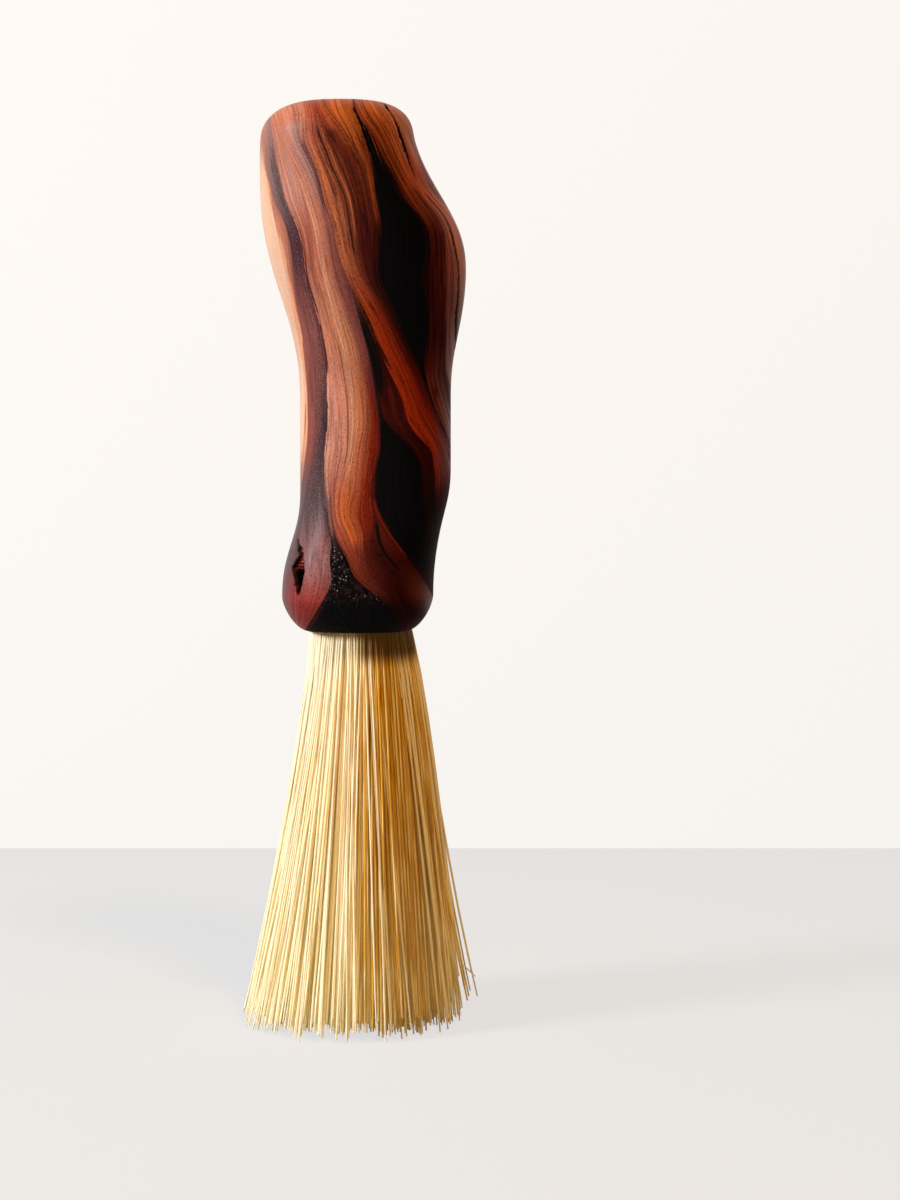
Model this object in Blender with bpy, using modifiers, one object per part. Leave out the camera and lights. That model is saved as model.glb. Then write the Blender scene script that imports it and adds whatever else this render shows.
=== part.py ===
"""A crumb brush: a hand-carved burl handle with a socket bored up into its foot, and a
round tuft of stiff plant fibre that is bound with wire and glued into the socket.

It stands on its tips, with the middle of the tuft over the origin and +Z up the handle.
The photographed side of the handle faces -Y. All sizes are in metres.
"""

import math
import random

import bmesh
import bpy
from mathutils import Matrix, Vector

# Overall sizes, from the tips up to the foot and from the foot up to the crown
TRIM_LENGTH = 0.0971
HANDLE_LENGTH = 0.1275

# Widths (along X) and depths (along Y) of the carved handle where it swells or narrows
FOOT_WIDTH = 0.0368
FOOT_DEPTH = 0.0380
ANKLE_WIDTH = 0.0351
ANKLE_DEPTH = 0.0338
WAIST_WIDTH = 0.0366
WAIST_DEPTH = 0.0326
HEAD_WIDTH = 0.0478
HEAD_DEPTH = 0.0404
SHOULDER_WIDTH = 0.0379
CROWN_WIDTH = 0.0350
CROWN_DEPTH = 0.0330

# How far the middle of the handle swings sideways off the axis of the tuft
FOOT_SWING = -0.0005
WAIST_SWING = 0.0039
HEAD_SWING = 0.0022
SHOULDER_SWING = -0.0053
CROWN_SWING = -0.0040

# Rounded ends: the foot's edge runs in to a flat ring, the crown is a low dome
FOOT_ROUND_HEIGHT = 0.0080
FOOT_ROUND_REACH = 0.0054
FOOT_ROUND_POWER = 1.5
CROWN_ROUND_HEIGHT = 0.0086
CROWN_ROUND_POWER = 2.5
CROWN_FLAT_RADIUS = 0.0020

# How square the handle's cross-section is: 2 is an oval, more is squarer
FOOT_SQUARENESS = 2.9
HEAD_SQUARENESS = 2.2

# Socket bored up into the foot
SOCKET_DIAMETER = 0.0254
SOCKET_DEPTH = 0.0240
SOCKET_CHAMFER = 0.00025

# Natural bark void in the foot, on the front left
VOID_HEIGHT = 0.0136
VOID_WIDTH = 0.0044
VOID_DEPTH = 0.0042
VOID_ABOVE_FOOT = 0.0160
VOID_TURN = math.radians(47)
VOID_LEAN = math.radians(4)

# Tuft: its glued butt, the slices that it is modelled in, and the splay of its strands
SLICES = 6
SLICE_TURN = math.radians(15)
STRANDS_ON_EDGE = 8
BUTT_RECESS = 0.0020
STRAND_SPACE = 0.00024
BEND_HEIGHT = 0.0600
BEND_SPREAD = 0.0360
TIP_SPREAD = 0.0590
TIP_WANDER = 0.0006
SHORTEST_STRAND = 0.0030
CUT_DEPTH = 0.0005

# Binding wire round the waist of the butt, and the bed of glue in the end of the socket
WIRE_DIAMETER = 0.0010
WIRE_TURNS = 3
WIRE_SPACE = 0.00046
GLUE_THICKNESS = 0.0012

# Clearance between neighbouring pieces, and what the middle of the binding wire has more
SEAT_GAP = 0.0003
WIRE_ROOM = 0.0008

# Fineness of the curved surfaces
HANDLE_SIDES = 40
BODY_RINGS = 32
ROUND_RINGS = 6
SOCKET_SIDES = 48
VOID_SIDES = 12
VOID_RINGS = 10
WIRE_POINTS_PER_TURN = 24
SHARP_ANGLE = math.radians(40)
MERGE_DISTANCE = 0.00001
SEED = 7

FOOT_Z = TRIM_LENGTH
SOCKET_END_Z = FOOT_Z + SOCKET_DEPTH
GLUE_TOP_Z = SOCKET_END_Z - SEAT_GAP
BUTT_TOP_Z = GLUE_TOP_Z - GLUE_THICKNESS - SEAT_GAP
BUTT_FOOT_Z = FOOT_Z + BUTT_RECESS
BUTT_WAIST_Z = (BUTT_TOP_Z + BUTT_FOOT_Z) / 2
BUTT_RADIUS = SOCKET_DIAMETER / 2 - SEAT_GAP
BUTT_WAIST_RADIUS = BUTT_RADIUS - WIRE_DIAMETER - WIRE_ROOM

# The carved form, as (share of the handle's length above the foot, value) points
SPINE = (
    (0.00, FOOT_SWING),
    (0.08, FOOT_SWING),
    (0.28, WAIST_SWING),
    (0.56, WAIST_SWING),
    (0.70, HEAD_SWING),
    (0.95, SHOULDER_SWING),
    (1.00, CROWN_SWING),
)
WIDTHS = (
    (0.00, FOOT_WIDTH),
    (0.09, FOOT_WIDTH),
    (0.21, ANKLE_WIDTH),
    (0.28, WAIST_WIDTH),
    (0.46, WAIST_WIDTH),
    (0.73, HEAD_WIDTH),
    (0.91, SHOULDER_WIDTH),
    (1.00, CROWN_WIDTH),
)
DEPTHS = (
    (0.00, FOOT_DEPTH),
    (0.11, FOOT_DEPTH),
    (0.23, ANKLE_DEPTH),
    (0.44, WAIST_DEPTH),
    (0.72, HEAD_DEPTH),
    (0.91, CROWN_DEPTH),
    (1.00, CROWN_DEPTH),
)
SQUARENESS = (
    (0.00, FOOT_SQUARENESS),
    (0.15, FOOT_SQUARENESS),
    (0.70, HEAD_SQUARENESS),
    (1.00, HEAD_SQUARENESS),
)


def clear_scene():
    """Remove what the scene holds, so that a second run starts afresh."""
    for thing in list(bpy.data.objects):
        bpy.data.objects.remove(thing, do_unlink=True)
    for store in (bpy.data.meshes, bpy.data.curves, bpy.data.materials, bpy.data.collections):
        for block in list(store):
            store.remove(block)


def new_collection(name):
    """A collection linked to the scene."""
    group = bpy.data.collections.new(name)
    bpy.context.scene.collection.children.link(group)
    return group


def new_material(name, colour, roughness, metallic=0.0):
    """A Principled material in one colour."""
    material = bpy.data.materials.new(name)
    material.use_nodes = True
    shader = material.node_tree.nodes["Principled BSDF"]
    shader.inputs["Base Color"].default_value = (*colour, 1.0)
    shader.inputs["Roughness"].default_value = roughness
    shader.inputs["Metallic"].default_value = metallic
    return material


def object_from_bmesh(name, shape, group, material=None):
    """Finish a bmesh as a named object, shaded smooth except at its sharp edges."""
    bmesh.ops.recalc_face_normals(shape, faces=shape.faces)
    mesh = bpy.data.meshes.new(name)
    shape.to_mesh(mesh)
    shape.free()
    mesh.shade_smooth()
    mesh.set_sharp_from_angle(angle=SHARP_ANGLE)
    thing = bpy.data.objects.new(name, mesh)
    if material:
        mesh.materials.append(material)
    group.objects.link(thing)
    return thing


def flow(points, place):
    """Value at a place on the smooth curve through (place, value) points."""
    last = len(points) - 1
    step = 0
    while step < last - 1 and place > points[step + 1][0]:
        step += 1

    def slope(index):
        """Slope of the curve at a point, level where the values turn back."""
        if index in (0, last):
            return 0.0
        before = (points[index][1] - points[index - 1][1]) / (points[index][0] - points[index - 1][0])
        after = (points[index + 1][1] - points[index][1]) / (points[index + 1][0] - points[index][0])
        if before * after <= 0:
            return 0.0
        return 2 * before * after / (before + after)

    start, end = points[step], points[step + 1]
    span = end[0] - start[0]
    t = (place - start[0]) / span
    return (
        start[1] * (1 + 2 * t) * (1 - t) ** 2
        + slope(step) * span * t * (1 - t) ** 2
        + end[1] * t * t * (3 - 2 * t)
        + slope(step + 1) * span * t * t * (t - 1)
    )


def outline_radius(angle, half_width, half_depth, squareness):
    """Radius of a squarish oval in a direction from its middle."""
    across = abs(math.cos(angle) / half_width) ** squareness
    along = abs(math.sin(angle) / half_depth) ** squareness
    return (across + along) ** (-1 / squareness)


def eased(t, power):
    """Share of a rounding's reach at a share of its height: a circle at power 2, flatter below."""
    return 1 - max(0.0, 1 - t**power) ** (1 / power)


def end_rounding(height):
    """How far the rounded ends draw the outline in at a height above the foot."""
    if height < FOOT_ROUND_HEIGHT:
        return FOOT_ROUND_REACH * eased(1 - height / FOOT_ROUND_HEIGHT, FOOT_ROUND_POWER)
    above = height - (HANDLE_LENGTH - CROWN_ROUND_HEIGHT)
    if above > 0:
        reach = min(CROWN_WIDTH, CROWN_DEPTH) / 2 - CROWN_FLAT_RADIUS
        return reach * eased(above / CROWN_ROUND_HEIGHT, CROWN_ROUND_POWER)
    return 0.0


def handle_point(height, angle):
    """Point on the carved surface at a height above the foot and an angle round the spine."""
    share = height / HANDLE_LENGTH
    drawn_in = end_rounding(height)
    radius = outline_radius(
        angle,
        flow(WIDTHS, share) / 2 - drawn_in,
        flow(DEPTHS, share) / 2 - drawn_in,
        flow(SQUARENESS, share),
    )
    across = flow(SPINE, share) + radius * math.cos(angle)
    return Vector((across, radius * math.sin(angle), FOOT_Z + height))


def ring_heights():
    """Heights above the foot of the handle's rings, closer together round its ends."""
    foot = [
        FOOT_ROUND_HEIGHT * (1 - math.cos(math.pi / 2 * step / ROUND_RINGS))
        for step in range(ROUND_RINGS)
    ]
    body_end = HANDLE_LENGTH - CROWN_ROUND_HEIGHT
    body = [
        FOOT_ROUND_HEIGHT + (body_end - FOOT_ROUND_HEIGHT) * step / BODY_RINGS
        for step in range(BODY_RINGS)
    ]
    crown = [
        body_end + CROWN_ROUND_HEIGHT * math.sin(math.pi / 2 * step / ROUND_RINGS)
        for step in range(ROUND_RINGS + 1)
    ]
    return foot + body + crown


def carved_blank():
    """The carved handle as a loft of squarish ovals, closed at its foot and its crown."""
    shape = bmesh.new()
    turn = shape.verts.layers.float.new("turn")
    ring = bmesh.ops.create_circle(shape, cap_ends=False, radius=1.0, segments=HANDLE_SIDES)["verts"]
    for corner in ring:
        corner[turn] = math.atan2(corner.co.y, corner.co.x)
    edges = shape.edges[:]
    bmesh.ops.contextual_create(shape, geom=edges)
    for number, height in enumerate(ring_heights()):
        if number:
            made = bmesh.ops.extrude_edge_only(shape, edges=edges)["geom"]
            ring = [item for item in made if isinstance(item, bmesh.types.BMVert)]
            edges = [item for item in made if isinstance(item, bmesh.types.BMEdge)]
        for corner in ring:
            corner.co = handle_point(height, corner[turn])
    bmesh.ops.contextual_create(shape, geom=edges)
    return shape


def turned_cutter(name, profile, sides, group):
    """A turned solid round the Z axis, from (radius, height) points running top to bottom."""
    mesh = bpy.data.meshes.new(name)
    points = [(radius, 0.0, height) for radius, height in profile]
    mesh.from_pydata(points, [(step, step + 1) for step in range(len(points) - 1)], [])
    cutter = bpy.data.objects.new(name, mesh)
    group.objects.link(cutter)
    screw = cutter.modifiers.new("turn", "SCREW")
    screw.steps = sides
    screw.render_steps = sides
    screw.use_merge_vertices = True
    screw.merge_threshold = MERGE_DISTANCE
    hide_cutter(cutter)
    return cutter


def hide_cutter(cutter):
    """Show a cutter as wires and leave it out of renders."""
    cutter.hide_render = True
    cutter.display_type = "WIRE"


def socket_cutter(group):
    """The socket that is bored up into the foot, with its mouth eased by a small chamfer."""
    radius = SOCKET_DIAMETER / 2
    mouth = radius + SOCKET_CHAMFER
    below = FOOT_Z - SOCKET_CHAMFER
    profile = (
        (0.0, SOCKET_END_Z),
        (radius, SOCKET_END_Z),
        (radius, FOOT_Z + SOCKET_CHAMFER),
        (mouth, FOOT_Z),
        (mouth, below),
        (0.0, below),
    )
    return turned_cutter("socket_cutter", profile, SOCKET_SIDES, group)


def void_cutter(group):
    """The almond-shaped bark void, sunk into the surface at the foot's front left."""
    shape = bmesh.new()
    bmesh.ops.create_uvsphere(shape, u_segments=VOID_SIDES, v_segments=VOID_RINGS, radius=1.0)
    for corner in shape.verts:
        pointed = math.sqrt(max(0.0, 1 - corner.co.z**2))
        corner.co.x *= VOID_WIDTH / 2 * pointed
        corner.co.y *= VOID_DEPTH * pointed
        corner.co.z *= VOID_HEIGHT / 2
    bmesh.ops.remove_doubles(shape, verts=shape.verts, dist=MERGE_DISTANCE)
    angle = -math.pi / 2 - VOID_TURN
    place = Matrix.Translation(handle_point(VOID_ABOVE_FOOT, angle))
    turned = Matrix.Rotation(-VOID_TURN, 4, "Z") @ Matrix.Rotation(VOID_LEAN, 4, "Y")
    bmesh.ops.transform(shape, matrix=place @ turned, verts=shape.verts)
    cutter = object_from_bmesh("void_cutter", shape, group)
    hide_cutter(cutter)
    return cutter


def cut(thing, cutter):
    """Take a cutter out of an object."""
    boolean = thing.modifiers.new(cutter.name, "BOOLEAN")
    boolean.operation = "DIFFERENCE"
    boolean.solver = "EXACT"
    boolean.object = cutter


def make_handle(parts, cutters):
    """The burl handle: carved blank, bored socket and bark void."""
    wood = new_material("burl", (0.29, 0.085, 0.025), 0.32)
    handle = object_from_bmesh("handle", carved_blank(), parts, wood)
    cut(handle, socket_cutter(cutters))
    cut(handle, void_cutter(cutters))
    return handle


def slice_point(share, turn_share, middle, radius):
    """Point of a slice of the round butt, drawn back from its neighbours by half the gap."""
    back = SEAT_GAP / 2 / math.sin(math.pi / SLICES)
    angle = middle + (turn_share - 0.5) * 2 * math.pi / SLICES
    reach = share * (radius - back)
    return Vector((back * math.cos(middle) + reach * math.cos(angle),
                   back * math.sin(middle) + reach * math.sin(angle)))


def root_lattice(shape, middle):
    """The foot of a slice as a lattice of small triangles, one for each strand."""
    share = shape.verts.layers.float.new("share")
    turn_share = shape.verts.layers.float.new("turn_share")
    corners = [shape.verts.new(place) for place in ((0, 0, 0), (1, 0, 0), (0, 1, 0))]
    shape.faces.new(corners)
    bmesh.ops.subdivide_edges(
        shape, edges=shape.edges[:], cuts=STRANDS_ON_EDGE - 1, use_grid_fill=True
    )
    for corner in shape.verts:
        u, v = corner.co.x, corner.co.y
        corner[share] = u + v
        corner[turn_share] = v / (u + v) if u + v > 0 else 0.5
        flat = slice_point(corner[share], corner[turn_share], middle, BUTT_RADIUS)
        corner.co = (flat.x, flat.y, BUTT_FOOT_Z)
    return shape.faces[:], share, turn_share


def raise_butt(shape, middle, share, turn_share):
    """Walls and top of a slice of the butt, drawn in at the waist that the wire binds."""
    edges = [edge for edge in shape.edges if edge.is_boundary]
    for radius, height in ((BUTT_WAIST_RADIUS, BUTT_WAIST_Z), (BUTT_RADIUS, BUTT_TOP_Z)):
        made = bmesh.ops.extrude_edge_only(shape, edges=edges)["geom"]
        edges = [item for item in made if isinstance(item, bmesh.types.BMEdge)]
        for corner in (item for item in made if isinstance(item, bmesh.types.BMVert)):
            flat = slice_point(corner[share], corner[turn_share], middle, radius)
            corner.co = (flat.x, flat.y, height)
    bmesh.ops.contextual_create(shape, geom=edges)


def spread_strands(shape, faces, chance):
    """Draw the strands down from the butt, splayed to the tips and cut level at the longest."""
    bmesh.ops.inset_individual(shape, faces=faces, thickness=STRAND_SPACE / 2, use_even_offset=True)
    to_bend = BEND_SPREAD / SOCKET_DIAMETER
    to_tip = TIP_SPREAD / BEND_SPREAD
    faces = bmesh.ops.extrude_discrete_faces(shape, faces=faces)["faces"]
    for face in faces:
        middle = face.calc_center_median()
        bend = Vector((middle.x * to_bend, middle.y * to_bend, BEND_HEIGHT))
        bmesh.ops.translate(shape, verts=face.verts, vec=bend - middle)
    faces = bmesh.ops.extrude_discrete_faces(shape, faces=faces)["faces"]
    for face in faces:
        middle = face.calc_center_median()
        away = TIP_WANDER * math.sqrt(chance.random())
        turn = chance.uniform(0, 2 * math.pi)
        height = max(0.0, chance.uniform(-CUT_DEPTH, SHORTEST_STRAND))
        tip = Vector((middle.x * to_tip + away * math.cos(turn),
                      middle.y * to_tip + away * math.sin(turn), height))
        bmesh.ops.translate(shape, verts=face.verts, vec=tip - middle)


def make_tuft_slice(number, parts, material):
    """One slice of the tuft: its part of the glued butt, and the strands that grow from it."""
    middle = 2 * math.pi * (number - 0.5) / SLICES + SLICE_TURN
    shape = bmesh.new()
    faces, share, turn_share = root_lattice(shape, middle)
    raise_butt(shape, middle, share, turn_share)
    spread_strands(shape, faces, random.Random(SEED + number))
    return object_from_bmesh(f"tuft_slice_{number}", shape, parts, material)


def butt_radius_at(height):
    """Radius of the butt at a height, between its waist and its ends."""
    share = abs(height - BUTT_WAIST_Z) / (BUTT_TOP_Z - BUTT_WAIST_Z)
    return BUTT_WAIST_RADIUS + (BUTT_RADIUS - BUTT_WAIST_RADIUS) * share


def wire_route():
    """Points of the binding wire: close turns against the butt's waist, with short straight ends."""
    pitch = WIRE_DIAMETER + WIRE_SPACE
    steps = WIRE_TURNS * WIRE_POINTS_PER_TURN
    route = []
    for step in range(steps + 1):
        turns = step / WIRE_POINTS_PER_TURN
        height = BUTT_WAIST_Z + pitch * (turns - WIRE_TURNS / 2)
        radius = butt_radius_at(height) + SEAT_GAP + WIRE_DIAMETER / 2
        angle = 2 * math.pi * turns
        route.append(Vector((radius * math.cos(angle), radius * math.sin(angle), height)))
    first = (route[0] - route[1]).normalized() * WIRE_DIAMETER
    last = (route[-1] - route[-2]).normalized() * WIRE_DIAMETER
    return [route[0] + first, *route, route[-1] + last]


def least_gap(route, diameter):
    """Least gap of a wound tube to itself, between points at least a quarter turn apart."""
    apart = WIRE_POINTS_PER_TURN // 4
    nearest = min(
        (route[i] - route[j]).length
        for i in range(len(route))
        for j in range(i + apart, len(route))
    )
    return nearest - diameter


def make_binding_wire(parts):
    """The wire that binds the butt of the fibre, as one unbroken tube."""
    route = wire_route()
    print(f"binding wire: least gap to itself {1000 * least_gap(route, WIRE_DIAMETER):.2f} mm")
    curve = bpy.data.curves.new("binding_wire", "CURVE")
    curve.dimensions = "3D"
    curve.bevel_depth = WIRE_DIAMETER / 2
    curve.bevel_resolution = 1
    curve.use_fill_caps = True
    spline = curve.splines.new("POLY")
    spline.points.add(len(route) - 1)
    for point, place in zip(spline.points, route):
        point.co = (*place, 1.0)
    curve.materials.append(new_material("wire", (0.62, 0.45, 0.16), 0.35, 1.0))
    wire = bpy.data.objects.new("binding_wire", curve)
    parts.objects.link(wire)
    return wire


def make_glue_bed(parts):
    """The bed of glue between the end of the socket and the butt of the fibre."""
    shape = bmesh.new()
    radius = SOCKET_DIAMETER / 2 - SEAT_GAP
    bmesh.ops.create_cone(
        shape, cap_ends=True, segments=SOCKET_SIDES, radius1=radius, radius2=radius, depth=GLUE_THICKNESS
    )
    bmesh.ops.translate(shape, verts=shape.verts, vec=(0, 0, GLUE_TOP_Z - GLUE_THICKNESS / 2))
    return object_from_bmesh("glue_bed", shape, parts, new_material("glue", (0.55, 0.36, 0.12), 0.25))


def main():
    """Build the brush."""
    clear_scene()
    parts = new_collection("crumb_brush")
    cutters = new_collection("cutters")
    make_handle(parts, cutters)
    fibre = new_material("plant_fibre", (0.84, 0.66, 0.33), 0.6)
    for number in range(1, SLICES + 1):
        make_tuft_slice(number, parts, fibre)
    make_binding_wire(parts)
    make_glue_bed(parts)


main()
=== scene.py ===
"""The looks of the crumb brush: figured burl, plant fibre, binding wire, glue and studio light.

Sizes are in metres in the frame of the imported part: +Z runs up the handle and the
photographed side faces -Y. Columns and rows are pixels of the photograph's 900 x 1200 frame.
"""

import functools
import logging
import math
from dataclasses import dataclass, field
from enum import Enum

import bmesh
import bpy
import numpy as np
from mathutils import Matrix, Vector


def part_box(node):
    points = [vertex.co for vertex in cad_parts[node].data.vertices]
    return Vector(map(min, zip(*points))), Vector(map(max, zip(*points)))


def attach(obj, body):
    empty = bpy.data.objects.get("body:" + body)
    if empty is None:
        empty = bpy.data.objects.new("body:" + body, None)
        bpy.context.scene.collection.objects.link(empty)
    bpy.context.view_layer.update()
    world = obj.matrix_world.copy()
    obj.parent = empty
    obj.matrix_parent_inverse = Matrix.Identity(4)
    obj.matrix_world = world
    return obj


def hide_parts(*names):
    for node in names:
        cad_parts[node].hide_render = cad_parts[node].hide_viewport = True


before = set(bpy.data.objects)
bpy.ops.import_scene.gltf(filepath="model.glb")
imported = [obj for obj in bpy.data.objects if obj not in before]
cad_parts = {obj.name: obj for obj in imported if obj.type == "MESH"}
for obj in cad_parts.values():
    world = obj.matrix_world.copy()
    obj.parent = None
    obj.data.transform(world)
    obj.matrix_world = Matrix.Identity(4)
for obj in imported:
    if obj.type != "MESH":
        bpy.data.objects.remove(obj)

LOG = logging.getLogger("crumb_brush")
BODY = "root"
SEED = 11
MERGE_DISTANCE = 0.000001
GOLDEN_TURN = math.pi * (3 - math.sqrt(5))
Colour = tuple[float, float, float]
Span = tuple[float, float]
Points = tuple[Span, ...]
Socket = bpy.types.NodeSocket


def linear(code: str) -> Colour:
    """Linear colour of an sRGB code such as "#c98a5e".

    Args:
        code: Six hexadecimal digits behind a hash sign.

    Returns:
        Red, green and blue in linear light.
    """
    shares = [int(code[start : start + 2], 16) / 255 for start in (1, 3, 5)]
    return tuple(s / 12.92 if s <= 0.04045 else ((s + 0.055) / 1.055) ** 2.4 for s in shares)


def flow(points: Points, places: np.ndarray, loose_ends: bool = False) -> np.ndarray:
    """Values at places on the smooth curve through points.

    Args:
        points: (place, value) pairs in rising order of place.
        places: Where the curve is read.
        loose_ends: Whether the curve runs on straight at its ends, instead of level.

    Returns:
        One value for each place.
    """
    spots, values = np.array(points, float).T
    steps = np.diff(values) / np.diff(spots)
    slopes = np.zeros(len(spots))
    product = steps[:-1] * steps[1:]
    total = np.where(product > 0, steps[:-1] + steps[1:], 1.0)
    slopes[1:-1] = np.where(product > 0, 2 * product / total, 0.0)
    if loose_ends:
        slopes[0], slopes[-1] = steps[0], steps[-1]
    index = np.clip(np.searchsorted(spots, places) - 1, 0, len(spots) - 2)
    span = spots[index + 1] - spots[index]
    t = np.clip((places - spots[index]) / span, 0, 1)
    return (
        values[index] * (1 + 2 * t) * (1 - t) ** 2
        + slopes[index] * span * t * (1 - t) ** 2
        + values[index + 1] * t * t * (3 - 2 * t)
        + slopes[index + 1] * span * t * t * (t - 1)
    )


def smooth_step(low: float, high: float, values: np.ndarray) -> np.ndarray:
    """Shares that rise smoothly from 0 at low to 1 at high."""
    t = np.clip((values - low) / (high - low), 0, 1)
    return t * t * (3 - 2 * t)


def polar(radius: np.ndarray | float, angle: np.ndarray) -> np.ndarray:
    """Points in the plane at distances and angles from its middle."""
    return np.column_stack([radius * np.cos(angle), radius * np.sin(angle)])


@dataclass(frozen=True)
class PhotoCamera:
    """The camera that saw the brush, a little above the middle of the brush and to its right."""

    across: float = 0.0220
    away: float = 0.650
    height: float = 0.160
    tilt: float = math.radians(4.93)
    lens: float = 80.0
    sensor: float = 36.0
    columns: int = 900
    rows: int = 1200
    handle_front: float = 0.013

    @property
    def scale(self) -> float:
        """Pixels that a thing as wide as it is far away takes up."""
        return self.lens / self.sensor * self.rows

    def pixels(self, points: np.ndarray) -> tuple[np.ndarray, np.ndarray]:
        """Where points are seen in the photograph.

        Args:
            points: An array of points, three numbers each.

        Returns:
            Their columns and their rows.
        """
        x = points[:, 0] - self.across
        y = points[:, 1] + self.away
        z = points[:, 2] - self.height
        depth = y * math.cos(self.tilt) - z * math.sin(self.tilt)
        rise = y * math.sin(self.tilt) + z * math.cos(self.tilt)
        return self.columns / 2 + self.scale * x / depth, self.rows / 2 - self.scale * rise / depth

    def height_of(self, row: float) -> float:
        """Height above the floor of what is seen at a row of the handle's front."""
        rise = (self.rows / 2 - row) / self.scale
        return self.height + (self.away - self.handle_front) * math.tan(math.atan(rise) - self.tilt)

    def heights(self, *rows: float) -> tuple[float, ...]:
        """Heights of what is seen at rows of the handle's front."""
        return tuple(self.height_of(row) for row in rows)

    def place(self) -> None:
        """Add the camera and make it the scene's."""
        data = bpy.data.cameras.new("photo_camera")
        data.lens = self.lens
        data.sensor_width = self.sensor
        camera = bpy.data.objects.new("photo_camera", data)
        camera.location = (self.across, -self.away, self.height)
        camera.rotation_euler = (math.pi / 2 - self.tilt, 0.0, 0.0)
        bpy.context.scene.collection.objects.link(camera)
        bpy.context.scene.camera = camera


CAMERA = PhotoCamera()


class Tone(Enum):
    """Colours that the burl, from sapwood to charred bark, goes through."""

    SAP = "#d8b8a2"
    BLOND = "#e8cbb8"
    PEACH = "#d39573"
    CREAM = "#c68d74"
    TAN = "#bc7b5c"
    SALMON = "#b2705a"
    ROSE = "#a06858"
    CLAY = "#96503e"
    FAWN = "#b06846"
    TAWNY = "#93523a"
    HONEY = "#985024"
    AMBER = "#aa5a3a"
    ORANGE = "#ac5826"
    COPPER = "#843a12"
    BRICK = "#76220e"
    EMBER = "#8a2a08"
    GARNET = "#681405"
    RUST = "#7a3424"
    CINNABAR = "#8a322c"
    BROWN = "#5c2a18"
    WINE = "#5e140c"
    MAROON = "#46120a"
    OXBLOOD = "#360905"
    GLOW = "#220402"
    UMBER = "#120403"
    PLUM = "#78423d"
    DUSK = "#45242a"
    SLATE = "#543e42"
    STONE = "#382428"
    ASH = "#856463"
    PINK = "#8a5e60"
    CHAR = "#030202"
    BLUSH = "#bc8074"
    # A grey for specks on the dark stripe, and for the painted glints on the bark.
    GREY_SPECK_AND_PAINTED_GLINT = "#90939a"


T = Tone
Input = Socket | Tone | str | float | tuple[float, ...]
Inputs = dict[str | int, Input]


@dataclass(frozen=True)
class GrainLine:
    """A line of the burl's figure and the band of wood on its right.

    The line goes through a column at each of its rows, in pixels of the photograph, and
    runs on past the edge of the handle where it turns round its side. The tones are the
    band's colours at the stations of the figure, from the crown down to the foot.
    """

    name: str
    rows: tuple[float, ...]
    columns: tuple[float, ...]
    tones: tuple[Tone, ...]
    crisp: bool = False
    busy: float = 0.6

    @property
    def points(self) -> Points:
        """The line as (row, column) points."""
        return tuple(zip(self.rows, self.columns, strict=True))


STATION_ROWS = (122.0, 175.0, 240.0, 330.0, 430.0, 512.0, 560.0, 606.0)
HEAD_ROWS = (150, 165, 180, 200, 225, 250, 275, 300, 325, 350, 375)
KNOT_ROWS = (150, 165, 180, 200, 212, 225, 250, 275, 300, 325, 350)
WAIST_ROWS = (425, 450, 475, 500, 515, 530, 545, 560, 575)

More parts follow.
